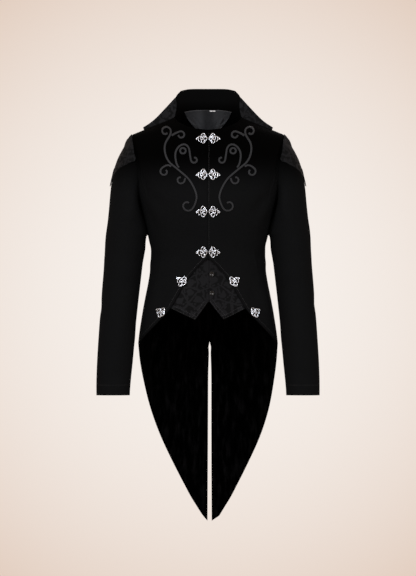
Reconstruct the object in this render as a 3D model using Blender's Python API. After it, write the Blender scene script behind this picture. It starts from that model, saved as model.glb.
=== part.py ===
"""A black tailcoat with a fan collar, filled out as worn, with nobody in it.

Metres, +Z up. The coat faces -Y and its wearer's left is +X. The origin is the middle of the neck,
level with the points where the shoulder seams meet the neckline.
"""

import math
from bisect import bisect_right
from collections import namedtuple
from functools import lru_cache

import bmesh
import bpy
import numpy as np

# Cloth walls and the gaps between them
TWILL = 0.0020
BROCADE = 0.0016
LINING = 0.0010
SEAM = 0.0003
LYING_GAP = 0.0005
CORD_GAP = 0.0007
CAP_GAP = 0.0008
ARMHOLE_GAP = 0.0011

# The body: a row for each level, with the half width and the depths in front of and behind the neck's axis
Section = namedtuple("Section", "z half_width front back")
BODY = (
    Section(0.060, 0.205, 0.064, 0.064),
    Section(0.020, 0.205, 0.067, 0.068),
    Section(-0.027, 0.204, 0.074, 0.080),
    Section(-0.060, 0.202, 0.088, 0.091),
    Section(-0.100, 0.200, 0.103, 0.099),
    Section(-0.150, 0.190, 0.116, 0.104),
    Section(-0.185, 0.177, 0.120, 0.104),
    Section(-0.215, 0.166, 0.120, 0.101),
    Section(-0.250, 0.156, 0.115, 0.095),
    Section(-0.290, 0.146, 0.106, 0.086),
    Section(-0.345, 0.1395, 0.096, 0.076),
    Section(-0.395, 0.1453, 0.098, 0.081),
    Section(-0.443, 0.155, 0.104, 0.092),
    Section(-0.492, 0.1635, 0.108, 0.104),
    Section(-0.549, 0.171, 0.110, 0.112),
    Section(-0.700, 0.172, 0.110, 0.119),
    Section(-1.000, 0.172, 0.110, 0.130),
)
BODY_SQUARENESS = 2.3

# The shoulder ridge, where fronts and backs meet, and the distance over which cloth rounds away from it
Ridge = namedtuple("Ridge", "x z")
RIDGE = (
    Ridge(0.000, 0.058),
    Ridge(0.040, 0.040),
    Ridge(0.082, 0.0034),
    Ridge(0.120, -0.0119),
    Ridge(0.160, -0.0279),
    Ridge(0.184, -0.0376),
    Ridge(0.215, -0.052),
)
RIDGE_Y = 0.006
SHOULDER_ROUND = 0.080

# Edges of the panels, each as points across the width and height
Edge = namedtuple("Edge", "x z")
FRONT_NECKLINE = (
    Edge(0.0005, -0.0270),
    Edge(0.027, -0.0245),
    Edge(0.045, -0.0205),
    Edge(0.061, -0.0147),
    Edge(0.075, -0.0060),
    Edge(0.082, 0.0034),
)
BACK_NECKLINE = (
    Edge(0.00015, 0.0240),
    Edge(0.022, 0.0240),
    Edge(0.042, 0.0228),
    Edge(0.060, 0.0188),
    Edge(0.075, 0.0108),
    Edge(0.082, 0.0034),
)
ARMHOLE = (
    Edge(0.184, -0.0376),
    Edge(0.181, -0.065),
    Edge(0.1765, -0.094),
    Edge(0.172, -0.124),
    Edge(0.1702, -0.154),
    Edge(0.1697, -0.181),
    Edge(0.1685, -0.203),
    Edge(0.166, -0.215),
)
FRONT_HEM = (
    Edge(0.0005, -0.343),
    Edge(0.011, -0.349),
    Edge(0.045, -0.386),
    Edge(0.066, -0.418),
    Edge(0.092, -0.464),
    Edge(0.120, -0.494),
    Edge(0.145, -0.520),
    Edge(0.171, -0.549),
)
SHOULDER_STEPS = 4
CLOSURE_GAP = 0.0010

# The tails: half width at each level below the fronts, and the vent between them
TailEdge = namedtuple("TailEdge", "z x")
TAIL_EDGE = (
    TailEdge(-0.549, 0.171),
    TailEdge(-0.600, 0.167),
    TailEdge(-0.640, 0.1600),
    TailEdge(-0.688, 0.1510),
    TailEdge(-0.737, 0.1372),
    TailEdge(-0.786, 0.1190),
    TailEdge(-0.835, 0.0960),
    TailEdge(-0.884, 0.0716),
    TailEdge(-0.933, 0.0450),
    TailEdge(-0.986, 0.0125),
)
TAIL_TOP = -0.549
TAIL_TIP = -0.986
VENT_HALF = 0.0047
VENT_SPREAD = 0.0014
VENT_ROUND = 0.016
SEAM_LEAN = 0.0045
LEAN_TOP = -0.440
TAIL_LEAN = 0.003
VENT_LEAN = -0.001
VENT_REACH = 0.012
LEAN_REACH = 0.6
TAIL_WAVE = 0.006
TAIL_WAVES = 2.5
TAIL_COLUMNS = (-0.549, -0.575, -0.62, -0.67, -0.72, -0.77, -0.82, -0.87, -0.91, -0.945, -0.968, -0.986)

PANEL_ROWS = 17
BACK_ROWS = 20
PATH_SAMPLES = 160
EASE_DROP = 0.055
ROW_GRADING = 1.3

# Sleeves: the top and the underside of the arm at each step from the armhole to the cuff
SleeveRow = namedtuple("SleeveRow", "step outer_x outer_z inner_x inner_z y depth")
SLEEVE = (
    SleeveRow(0, 0.1845, -0.0376, 0.1665, -0.2150, 0.000, 0.060),
    SleeveRow(1, 0.1975, -0.0510, 0.1655, -0.2215, 0.000, 0.064),
    SleeveRow(2, 0.2110, -0.0760, 0.1626, -0.2320, 0.000, 0.067),
    SleeveRow(3, 0.2225, -0.1000, 0.1590, -0.2450, -0.001, 0.068),
    SleeveRow(4, 0.2318, -0.1300, 0.1552, -0.2600, -0.002, 0.067),
    SleeveRow(5, 0.2380, -0.1580, 0.1522, -0.2760, -0.003, 0.065),
    SleeveRow(6, 0.2415, -0.2000, 0.1538, -0.2980, -0.005, 0.062),
    SleeveRow(7, 0.2455, -0.2600, 0.1568, -0.3300, -0.007, 0.058),
    SleeveRow(8, 0.2540, -0.3450, 0.1622, -0.3800, -0.012, 0.054),
    SleeveRow(9, 0.2620, -0.4430, 0.1715, -0.4550, -0.020, 0.051),
    SleeveRow(10, 0.2690, -0.5410, 0.1803, -0.5450, -0.030, 0.048),
    SleeveRow(11, 0.2735, -0.6200, 0.1880, -0.6220, -0.040, 0.046),
    SleeveRow(12, 0.2735, -0.6765, 0.1910, -0.6765, -0.047, 0.044),
)
SLEEVE_STEPS = (0, 0.6, 1.4, 2.3, 3.3, 4.4, 5.5, 6.6, 7.6, 8.6, 9.6, 10.6, 11.4, 12)
SLEEVE_SETTLES = 5.0

# Shoulder caps: how far down the sleeve they reach, by the angle round the arm from its top
CapEdge = namedtuple("CapEdge", "degrees step")
CAP = (
    CapEdge(0, 5.15),
    CapEdge(90 / 7, 4.25),
    CapEdge(180 / 7, 3.2),
    CapEdge(270 / 7, 2.25),
    CapEdge(360 / 7, 1.35),
    CapEdge(450 / 7, 0.6),
)
CAP_START = 0.06
CAP_ROWS = 10
CAP_LIFT = 0.0025

# Collar: a stand round the back of the neck, and wings that lie out over the shoulders
CollarPoint = namedtuple("CollarPoint", "x y z")
COLLAR_TOP = (
    CollarPoint(0.000, 0.0720, 0.0735),
    CollarPoint(0.026, 0.0700, 0.0735),
    CollarPoint(0.051, 0.0620, 0.0732),
    CollarPoint(0.068, 0.0490, 0.0682),
    CollarPoint(0.0765, 0.0320, 0.0598),
    CollarPoint(0.0790, 0.0175, 0.0535),
)
COLLAR_ROWS = 5
COLLAR_BULGE = 0.004
WingColumn = namedtuple("WingColumn", "x low low_y high high_x high_y")
WING = (
    WingColumn(0.1000, -0.0030, 0.0068, 0.0352, 0.0960, 0.0200),
    WingColumn(0.1170, -0.0099, 0.0065, 0.0182, 0.1120, 0.0190),
    WingColumn(0.1330, -0.0163, 0.0065, 0.0028, 0.1262, 0.0160),
    WingColumn(0.1470, -0.0219, 0.0065, -0.0100, 0.1415, 0.0120),
    WingColumn(0.1575, -0.0260, 0.0065, -0.0205, 0.1590, 0.0085),
)
WING_GAP = 0.0005

# Linings, by the rows of the back that they lie in, and a label on the upper one
NECK_LINING_ROWS = 5
NECK_LINING_COLUMNS = 4
TAIL_LINING_ROW = 9
Label = namedtuple("Label", "first last top bottom thickness")
LABEL = Label(0.11, 0.75, 0.05, 0.28, 0.0005)

# Mock waistcoat panels, hung inside the cutaway. They meet a little to the wearer's left of the centre,
# so each has its own hem, with across measured outward on its own side
WAISTCOAT_LEFT = (
    Edge(0.0031, -0.4462),
    Edge(0.0200, -0.4690),
    Edge(0.0382, -0.4908),
    Edge(0.0560, -0.4830),
    Edge(0.0760, -0.4725),
    Edge(0.0930, -0.4630),
    Edge(0.1000, -0.4615),
)
WAISTCOAT_RIGHT = (
    Edge(-0.0021, -0.4462),
    Edge(0.0140, -0.4680),
    Edge(0.0318, -0.4920),
    Edge(0.0500, -0.4838),
    Edge(0.0720, -0.4733),
    Edge(0.0920, -0.4637),
    Edge(0.1000, -0.4620),
)
WAISTCOAT_OVERLAP = 0.016
WAISTCOAT_ROWS = 8
WAISTCOAT_GAP = 0.0012

# Corded scrolls: a path along the breast, then a curl that turns about a centre while it tightens
Curl = namedtuple("Curl", "x z degrees tighten")
Cord = namedtuple("Cord", "name start points end")
CORD_WIDTH = 0.0044
CORD_HEIGHT = 0.0018
CORD_STEP = 0.0052
CORDS = (
    Cord(
        "scroll_stem",
        Curl(0.0500, -0.2120, 285, 0.42),
        (
            Edge(0.0353, -0.2171),
            Edge(0.0279, -0.1965),
            Edge(0.0294, -0.1818),
            Edge(0.0368, -0.1642),
            Edge(0.0485, -0.1465),
            Edge(0.0647, -0.1318),
            Edge(0.0794, -0.1195),
            Edge(0.0941, -0.1068),
            Edge(0.1029, -0.0907),
            Edge(0.1058, -0.0730),
            Edge(0.1029, -0.0583),
            Edge(0.0956, -0.0466),
            Edge(0.0906, -0.0360),
            Edge(0.0915, -0.0262),
        ),
        Curl(0.1030, -0.0318, -290, 0.42),
    ),
    Cord(
        "scroll_top",
        None,
        (Edge(0.0885, -0.0421), Edge(0.0794, -0.0363), Edge(0.0662, -0.0313)),
        Curl(0.0656, -0.0398, 265, 0.80),
    ),
    Cord(
        "scroll_inner",
        None,
        (
            Edge(0.0708, -0.1200),
            Edge(0.0764, -0.1112),
            Edge(0.0800, -0.0907),
            Edge(0.0764, -0.0760),
            Edge(0.0670, -0.0657),
            Edge(0.0559, -0.0636),
            Edge(0.0470, -0.0715),
            Edge(0.0441, -0.0877),
            Edge(0.0415, -0.1030),
        ),
        Curl(0.0333, -0.1010, -265, 0.60),
    ),
    Cord(
        "scroll_outer",
        None,
        (Edge(0.0896, -0.1172), Edge(0.0955, -0.1142), Edge(0.1020, -0.1146), Edge(0.1108, -0.1200)),
        Curl(0.1062, -0.1300, -295, 0.50),
    ),
    Cord(
        "scroll_low",
        None,
        (Edge(0.0552, -0.1457), Edge(0.0563, -0.1490)),
        Curl(0.0667, -0.1500, 280, 0.60),
    ),
)
EYE = Curl(0.0612, -0.0790, 360, 1.0)
EYE_RADIUS = 0.0070

# Clasps: a pointed knot with three loops, its point away from the centre
Clasp = namedtuple("Clasp", "name x z degrees")
CLASPS = (
    Clasp("clasp_neck", 0.0135, -0.0480, 0),
    Clasp("clasp_chest", 0.0135, -0.1362, 0),
    Clasp("clasp_ribs", 0.0135, -0.2265, 0),
    Clasp("clasp_waist", 0.0135, -0.3255, 0),
    Clasp("clasp_upper_edge", 0.0630, -0.3969, 38),
    Clasp("clasp_lower_edge", 0.1140, -0.4728, 38),
)
Lobe = namedtuple("Lobe", "degrees radius")
CLASP_OUTLINE = (
    Lobe(0, 0.0178),
    Lobe(13, 0.0125),
    Lobe(32, 0.0092),
    Lobe(50, 0.0084),
    Lobe(68, 0.0118),
    Lobe(82, 0.0132),
    Lobe(98, 0.0132),
    Lobe(112, 0.0114),
    Lobe(132, 0.0080),
    Lobe(152, 0.0098),
    Lobe(168, 0.0122),
    Lobe(180, 0.0127),
)
CLASP_HOLES = (Lobe(90, 0.0085), Lobe(180, 0.0080), Lobe(270, 0.0085))
CLASP_HOLE = 0.0024
CLASP_THICK = 0.0016

# Buttons on the waistcoat
Button = namedtuple("Button", "name x z")
BUTTONS = (
    Button("button_upper", 0.0094, -0.3800),
    Button("button_lower", 0.0094, -0.4265),
)
Ring = namedtuple("Ring", "radius height")
BUTTON_PROFILE = (Ring(0.0030, 0.0), Ring(0.0060, 0.0012), Ring(0.0060, 0.0026), Ring(0.0034, 0.0036))
BUTTON_SIDES = 14


@lru_cache(maxsize=None)
def fitted(rows, column):
    """The keys, values and slopes of a smooth curve through a table's column."""
    rows = sorted(rows, key=lambda row: row[0])
    keys = [row[0] for row in rows]
    values = [getattr(row, column) for row in rows]
    last = len(keys) - 1
    ends = [(max(k - 1, 0), min(k + 1, last)) for k in range(last + 1)]
    slopes = [(values[high] - values[low]) / (keys[high] - keys[low]) for low, high in ends]
    return keys, values, slopes


def along(rows, column, at):
    """A column's value where the first column is `at`, on a smooth curve through the rows."""
    keys, values, slopes = fitted(rows, column)
    at = min(max(at, keys[0]), keys[-1])
    i = min(max(bisect_right(keys, at) - 1, 0), len(keys) - 2)
    step = keys[i + 1] - keys[i]
    t = (at - keys[i]) / step
    return (
        values[i] * (2 * t**3 - 3 * t**2 + 1)
        + values[i + 1] * (3 * t**2 - 2 * t**3)
        + step * slopes[i] * (t**3 - 2 * t**2 + t)
        + step * slopes[i + 1] * (t**3 - t**2)
    )


def unit(vector):
    return vector / np.linalg.norm(vector)


def body_point(angle, z):
    """A point of the body's outside. Angle 0 is the centre front, a quarter turn the wearer's left side."""
    power = 2 / BODY_SQUARENESS
    sine, cosine = math.sin(angle), math.cos(angle)
    x = along(BODY, "half_width", z) * math.copysign(abs(sine) ** power, sine)
    depth = along(BODY, "front" if cosine > 0 else "back", z)
    y = -depth * math.copysign(abs(cosine) ** power, cosine)
    share = min(max((along(RIDGE, "z", abs(x)) - z) / SHOULDER_ROUND, 0.0), 1.0)
    y = RIDGE_Y + (y - RIDGE_Y) * math.sqrt(1 - (1 - share) ** 2)
    return np.array((x, y, z))


def angle_of(x, z, behind=False):
    """The angle at which the body's outside is x across at level z."""
    share = min(abs(x) / along(BODY, "half_width", z), 1.0)
    angle = math.asin(share ** (BODY_SQUARENESS / 2))
    return math.copysign(math.pi - angle if behind else angle, x)


def body_normal(angle, z):
    """The outward direction of the body's outside."""
    turn, rise = 0.01, 0.001
    across = body_point(angle + turn, z) - body_point(angle - turn, z)
    up = body_point(angle, z + rise) - body_point(angle, z - rise)
    return unit(np.cross(across, up))


def form_spot(x, z):
    """The body's outside and its direction in front, at x across and level z."""
    angle = angle_of(x, z)
    return body_point(angle, z), body_normal(angle, z)


def panel_spot(grid, x, z):
    """The point and direction of a panel's own faces at x across and level z, or of the body beyond them."""
    points, normals = grid
    corners = np.stack((points[:-1, :-1], points[1:, :-1], points[1:, 1:], points[:-1, 1:]), axis=2)
    ways = np.stack((normals[:-1, :-1], normals[1:, :-1], normals[1:, 1:], normals[:-1, 1:]), axis=2)
    for picked in ((0, 1, 2), (0, 2, 3)):
        faces = corners[:, :, picked].reshape(-1, 3, 3)
        facing = ways[:, :, picked].reshape(-1, 3, 3)
        a, b, c = faces[:, 0], faces[:, 1] - faces[:, 0], faces[:, 2] - faces[:, 0]
        over = b[:, 0] * c[:, 2] - b[:, 2] * c[:, 0]
        over = np.where(abs(over) < 1e-12, 1e-12, over)
        dx, dz = x - a[:, 0], z - a[:, 2]
        u = (dx * c[:, 2] - dz * c[:, 0]) / over
        v = (b[:, 0] * dz - b[:, 2] * dx) / over
        inside = np.nonzero((u >= -1e-6) & (v >= -1e-6) & (u + v <= 1 + 1e-6))[0]
        if len(inside):
            k = inside[0]
            weights = (1 - u[k] - v[k], u[k], v[k])
            return sum(w * p for w, p in zip(weights, faces[k])), unit(
                sum(w * n for w, n in zip(weights, facing[k]))
            )
    return form_spot(x, z)


def column_path(top, bottom):
    """Body angles and levels from one edge down to another, closing on the bottom's angle early."""
    path = []
    for k in range(PATH_SAMPLES + 1):
        share = (k / PATH_SAMPLES) ** 2
        drop = share * (top[1] - bottom[1])
        keep = (1 - share) * math.exp(-drop / EASE_DROP)
        path.append((bottom[0] + (top[0] - bottom[0]) * keep, top[1] - drop))
    return path


def spaced(path, place, count):
    """`count` + 1 entries of a path, evenly spaced along the line that `place` makes of it."""
    points = [place(*entry) for entry in path]
    lengths = np.cumsum([0.0] + [np.linalg.norm(b - a) for a, b in zip(points, points[1:])])
    wanted = lengths[-1] * np.linspace(0, 1, count + 1) ** ROW_GRADING
    return [path[int(np.argmin(abs(lengths - length)))] for length in wanted]


def panel_grid(tops, bottoms, rows, place=body_point, facing=body_normal):
    """Points and outward directions of a panel, a column for each pair of ends."""
    points, normals = [], []
    for top, bottom in zip(tops, bottoms):
        entries = spaced(column_path(top, bottom), place, rows)
        points.append([place(*entry) for entry in entries])
        normals.append([facing(*entry) for entry in entries])
    return np.array(points), np.array(normals)


def grid_normals(points):
    """The direction at each point of a grid, from its neighbours along both ways."""
    normals = np.cross(np.gradient(points, axis=0), np.gradient(points, axis=1))
    return normals / np.linalg.norm(normals, axis=2, keepdims=True)


def wall(name, points, normals, low, high, material, closed=False, turned=None):
    """A cloth wall between the grid moved `low` and the grid moved `high` along its directions.

    From the column `turned` on, each cell is split the other way, as it is in a mirrored panel.
    """
    columns, rows = points.shape[:2]
    mesh = bmesh.new()
    layers = []
    for offset in (low, high):
        moved = points + offset * normals
        layers.append([[mesh.verts.new(point) for point in column] for column in moved])
    under, over = layers
    faces = []
    spans = [(i, (i + 1) % columns) for i in range(columns if closed else columns - 1)]
    for i, k in spans:
        for j in range(rows - 1):
            halves = (((i, j), (k, j), (k, j + 1)), ((i, j), (k, j + 1), (i, j + 1)))
            if turned is not None and i >= turned:
                halves = (((i, j), (k, j), (i, j + 1)), ((k, j), (k, j + 1), (i, j + 1)))
            for corners in halves:
                faces.append([over[a][b] for a, b in corners])
                faces.append([under[a][b] for a, b in reversed(corners)])
        for j in (0, rows - 1):
            faces.append([over[i][j], over[k][j], under[k][j], under[i][j]])
    if not closed:
        for i in (0, columns - 1):
            for j in range(rows - 1):
                faces.append([over[i][j], over[i][j + 1], under[i][j + 1], under[i][j]])
    for face in faces:
        mesh.faces.new(face)
    face_out(mesh)
    return add_mesh(name, mesh, material)


def face_out(mesh):
    bmesh.ops.recalc_face_normals(mesh, faces=mesh.faces)
    if mesh.calc_volume(signed=True) < 0:
        bmesh.ops.reverse_faces(mesh, faces=mesh.faces)


def add_mesh(name, mesh, material):
    data = bpy.data.meshes.new(name)
    mesh.to_mesh(data)
    mesh.free()
    data.shade_smooth()
    data.set_sharp_from_angle(angle=math.radians(40))
    data.materials.append(material)
    obj = bpy.data.objects.new(name, data)
    bpy.context.scene.collection.objects.link(obj)
    return obj


def mirrored(points):
    return points * np.array((-1.0, 1.0, 1.0))


def both_sides(name, points, normals, low, high, material):
    """The same wall for the wearer's left, at +X, and right."""
    wall(f"{name}_left", points, normals, low, high, material)
    wall(f"{name}_right", mirrored(points), mirrored(normals), low, high, material)


def cloth(name, colour, roughness, metallic=0.0):
    material = bpy.data.materials.new(name)
    material.use_nodes = True
    shader = material.node_tree.nodes["Principled BSDF"]
    shader.inputs["Base Color"].default_value = (*colour, 1.0)
    shader.inputs["Roughness"].default_value = roughness
    shader.inputs["Metallic"].default_value = metallic
    return material


def between(first, last, count):
    """`count` evenly spaced edge points after the first, up to the last."""
    return [
        Edge(first.x + (last.x - first.x) * k / count, first.z + (last.z - first.z) * k / count)
        for k in range(1, count + 1)
    ]


def panel_top(neckline, behind):
    """Angles and levels along a panel's top: neckline, shoulder seam and armhole."""
    shoulder = [Edge(e.x, along(RIDGE, "z", e.x)) for e in between(neckline[-1], ARMHOLE[0], SHOULDER_STEPS)]
    edge = list(neckline) + shoulder + list(ARMHOLE[1:])
    return [(angle_of(e.x, e.z, behind), e.z) for e in edge]


def hem_level(angle):
    """The level of a front's hem at a body angle."""
    z = FRONT_HEM[0].z
    for _ in range(12):
        z = along(FRONT_HEM, "z", body_point(angle, z)[0])
    return z


def seam_shoulder(normals, first, last):
    """Turns the shoulder seam's directions upright, so that front and back part evenly."""
    for column in range(first, last + 1):
        normals[column, 0, 1] = 0.0
        normals[column, 0] = unit(normals[column, 0])


def front_grid():
    tops = panel_top(FRONT_NECKLINE, behind=False)
    last = len(tops) - 1
    side_seam = math.pi / 2 - SEAM / ARMHOLE[-1].x
    tops[-1] = (side_seam, ARMHOLE[-1].z)
    angles = [side_seam * (k / last) for k in range(last + 1)]
    points, normals = panel_grid(tops, [(a, hem_level(a)) for a in angles], PANEL_ROWS)
    neck = len(FRONT_NECKLINE) - 1
    seam_shoulder(normals, neck, neck + SHOULDER_STEPS)
    points[neck : neck + SHOULDER_STEPS + 1, 0, 1] = RIDGE_Y - SEAM
    points[0, :, 0] = CLOSURE_GAP / 2
    return points, normals


def tail_place(angle, z):
    """A point of the back and its tail, which sways and leans once it hangs free."""
    point = body_point(angle, z)
    hang = min(max((TAIL_TOP - z) / (TAIL_TOP - TAIL_TIP), 0.0), 1.0)
    wave = math.cos(math.tau * TAIL_WAVES * point[0] / BODY[-1].half_width)
    point[1] += TAIL_WAVE * hang * wave
    return point


def tail_facing(angle, z):
    turn, rise = 0.01, 0.001
    across = tail_place(angle + turn, z) - tail_place(angle - turn, z)
    up = tail_place(angle, z + rise) - tail_place(angle, z - rise)
    return unit(np.cross(across, up))


def eased(share):
    share = min(max(share, 0.0), 1.0)
    return share * share * (3 - 2 * share)


def tail_lean(x, z):
    """How far the centre back seam and the tails swing to the wearer's left. The side seams stay."""
    hang = min(max((TAIL_TOP - z) / (TAIL_TOP - TAIL_TIP), 0.0), 1.0)
    share = min(max(abs(x) - VENT_HALF, 0.0) / VENT_REACH, 1.0)
    swing = SEAM_LEAN * eased((LEAN_TOP - z) / (LEAN_TOP - TAIL_TOP))
    swing += hang * (VENT_LEAN + (TAIL_LEAN - VENT_LEAN) * share)
    side = min(abs(x) / along(BODY, "half_width", z), 1.0)
    return swing * (1 - side * side * (1 - eased(hang / LEAN_REACH)))


def open_vent(points, inset=0.0):
    """Keeps a panel clear of the centre back seam and, lower down, of the vent."""
    for column in points:
        for point in column:
            depth = min(max((TAIL_TOP - point[2]) / VENT_ROUND, 0.0), 1.0)
            hang = max((TAIL_TOP - point[2]) / (TAIL_TOP - TAIL_TIP), 0.0)
            half = VENT_HALF + VENT_SPREAD * hang * hang
            edge = SEAM / 2 + (half - SEAM / 2) * math.sqrt(1 - (1 - depth) ** 2) + inset
            point[0] = max(point[0], edge)


def lean_tails(points, side):
    for column in points:
        for point in column:
            point[0] = side * point[0] + tail_lean(point[0], point[2])


def tail_bottom(level, inset=0.0):
    x = along(TAIL_EDGE, "x", level) - inset
    return (angle_of(max(x, VENT_HALF), level, behind=True), level)


def back_grid():
    tops = list(reversed(panel_top(BACK_NECKLINE, behind=True)))
    side_seam = math.pi / 2 + SEAM / ARMHOLE[-1].x
    tops[0] = (side_seam, ARMHOLE[-1].z)
    columns = len(tops)
    levels = np.interp(np.linspace(0, 1, columns), np.linspace(0, 1, len(TAIL_COLUMNS)), TAIL_COLUMNS)
    bottoms = [(side_seam, TAIL_TOP)] + [tail_bottom(level) for level in levels[1:-1]]
    bottoms.append((math.pi, TAIL_TIP))
    points, normals = panel_grid(tops, bottoms, BACK_ROWS, tail_place, tail_facing)
    armhole = len(ARMHOLE) - 1
    seam_shoulder(normals, armhole, armhole + SHOULDER_STEPS)
    points[armhole : armhole + SHOULDER_STEPS + 1, 0, 1] = RIDGE_Y + SEAM
    open_vent(points)
    return points, normals


def build_body(front, back, twill):
    both_sides("front", *front, -TWILL, 0.0, twill)
    points, normals = back
    for name, side in (("back_left", 1), ("back_right", -1)):
        hung, facing = points.copy(), normals * np.array((side, 1.0, 1.0))
        lean_tails(hung, side)
        wall(name, hung, facing, -TWILL, 0.0, twill)


def armhole_side(points, normals, order):
    """A panel's armhole edge from the shoulder down, as points just clear of it and its own directions.

    The directions fade out towards the underarm, where the sleeve folds back over the panel.
    """
    edge = [(points[i, 0], normals[i, 0]) for i in order]
    cleared = []
    for k, (point, normal) in enumerate(edge):
        line = edge[min(k + 1, len(edge) - 1)][0] - edge[max(k - 1, 0)][0]
        away = unit(np.cross(line, normal))
        if away[0] + away[2] < 0:
            away = -away
        turn = 180 * k / (len(edge) - 1)
        under = min(max((turn - 95) / 60, 0.0), 1.0)
        moved = point + ARMHOLE_GAP * unit(away * (1 - under) + normal * under)
        cleared.append(np.array((moved, normal * (1 - under))))
    return cleared


def armhole_ring(front, back):
    """A sleeve's start, round the arm from its top by way of the front: angles, points and directions."""
    shoulder = len(FRONT_NECKLINE) - 1 + SHOULDER_STEPS
    count = len(ARMHOLE)
    ahead = armhole_side(*front, range(shoulder, shoulder + count))
    behind = armhole_side(*back, range(count - 1, -1, -1))
    top = (ahead[0] + behind[0]) / 2
    bottom = (ahead[-1] + behind[-1]) / 2
    ring = [top] + ahead[1:-1] + [bottom] + behind[-2:0:-1]
    turns = [180 * k / (count - 1) for k in range(2 * count - 2)]
    full = []
    for k, spot in enumerate(ring):
        after = ring[(k + 1) % len(ring)]
        full.append((turns[k], *spot))
        full.append((turns[k] + 90 / (count - 1), *(spot + after) / 2))
    return full


def arm_point(degrees, step):
    """A point of the plain tube that a sleeve settles into. 0 is the arm's top and 90 its front."""
    row = [along(SLEEVE, column, step) for column in SLEEVE[0]._fields[1:]]
    outer = np.array((row[0], row[4], row[1]))
    inner = np.array((row[2], row[4], row[3]))
    turn = math.radians(degrees)
    swing = (outer - inner) / 2 * math.cos(turn)
    return (outer + inner) / 2 + swing + np.array((0.0, -row[5] * math.sin(turn), 0.0))


def sleeve_point(ring, degrees, step):
    """A point of the sleeve, which leaves the armhole's own line to become the plain tube."""
    turns = [spot[0] for spot in ring] + [360.0]
    points = np.array([spot[1] for spot in ring] + [ring[0][1]])
    start = np.array([np.interp(degrees % 360, turns, points[:, axis]) for axis in range(3)])
    left = max(1 - step / SLEEVE_SETTLES, 0.0)
    keep = left * left * (3 - 2 * left)
    return arm_point(degrees, step) + keep * (start - arm_point(degrees, 0))


def sleeve_normal(ring, degrees, step):
    low = max(step - 0.1, 0.0)
    around = sleeve_point(ring, degrees + 3, step) - sleeve_point(ring, degrees - 3, step)
    down = sleeve_point(ring, degrees, low + 0.2) - sleeve_point(ring, degrees, low)
    return unit(np.cross(around, down))


def sleeve_grid(ring):
    points = [[sleeve_point(ring, spot[0], step) for step in SLEEVE_STEPS] for spot in ring]
    normals = [[sleeve_normal(ring, spot[0], step) for step in SLEEVE_STEPS] for spot in ring]
    for column, (_, _, panel) in zip(normals, ring):
        column[0] = unit(panel + column[0] * (1 - min(np.linalg.norm(panel), 1.0)))
    return np.array(points), np.array(normals)


def on_sleeve(grid, degrees, step):
    """The point of a sleeve's own faces at an angle round the arm and a step down it."""
    columns, place = len(grid), (degrees % 360) / 360 * len(grid)
    i = int(place) % columns
    j = max(bisect_right(SLEEVE_STEPS, step) - 1, 0)
    u, v = place - int(place), (step - SLEEVE_STEPS[j]) / (SLEEVE_STEPS[j + 1] - SLEEVE_STEPS[j])
    near, far = grid[i], grid[(i + 1) % columns]
    if u > v:
        return near[j] + (far[j] - near[j]) * u + (far[j + 1] - far[j]) * v
    return near[j] + (near[j + 1] - near[j]) * v + (far[j + 1] - near[j + 1]) * u


def build_sleeves(sleeve, twill):
    points, normals = sleeve
    for name, side in (("sleeve_left", 1), ("sleeve_right", -1)):
        flip = np.array((side, 1.0, 1.0))
        wall(name, points * flip, normals * flip, -TWILL, 0.0, twill, closed=True)


def build_caps(sleeve, brocade):
    edges = [CapEdge(-edge.degrees, edge.step) for edge in CAP[:0:-1]] + list(CAP)
    points, normals = [], []
    for edge in edges:
        steps = np.linspace(CAP_START, edge.step, CAP_ROWS)
        facing = [unit(on_sleeve(sleeve[1], edge.degrees, step)) for step in steps]
        place = [on_sleeve(sleeve[0], edge.degrees, step) for step in steps]
        lift = [CAP_LIFT * (step / CAP[0].step) ** 2 for step in steps]
        points.append([p + rise * n for p, rise, n in zip(place, lift, facing)])
        normals.append(facing)
    both_sides(
        "cap", np.array(points), np.array(normals), CAP_GAP, CAP_GAP + BROCADE, brocade
    )


def build_collar(twill, brocade):
    feet = [body_point(angle_of(e.x, e.z, True), e.z) for e in BACK_NECKLINE]
    columns = []
    for foot, top in zip(feet, COLLAR_TOP):
        start = foot + np.array((0.0, 0.0, SEAM))
        start[1] = max(start[1], RIDGE_Y + 2 * SEAM)
        lean = np.array(top) - start
        bow = unit(np.array((start[0], start[1], 0.0)))
        shares = np.linspace(0, 1, COLLAR_ROWS)
        columns.append([start + lean * t - COLLAR_BULGE * math.sin(math.pi * t) * bow for t in shares])
    half = np.array(columns)
    whole = np.concatenate([mirrored(half[:0:-1]), half])
    whole[len(half) - 1, :, 0] = 0.0
    normals = grid_normals(whole)
    if normals[len(half) - 1, 2, 1] < 0:
        normals = -normals
    wall("collar_back", whole, normals, -TWILL, 0.0, twill)

    crease = whole[-1] + np.array((WING_GAP, 0.0, 0.0))
    crease[0, 2] += 2 * SEAM
    columns = [crease]
    for column in WING:
        low = np.array((column.x, column.low_y, column.low))
        high = np.array((column.high_x, column.high_y, column.high))
        columns.append([low + (high - low) * t for t in np.linspace(0, 1, COLLAR_ROWS)])
    points = np.array(columns)
    normals = grid_normals(points)
    both_sides("collar_wing", points, normals, -BROCADE / 2, BROCADE / 2, brocade)


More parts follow.
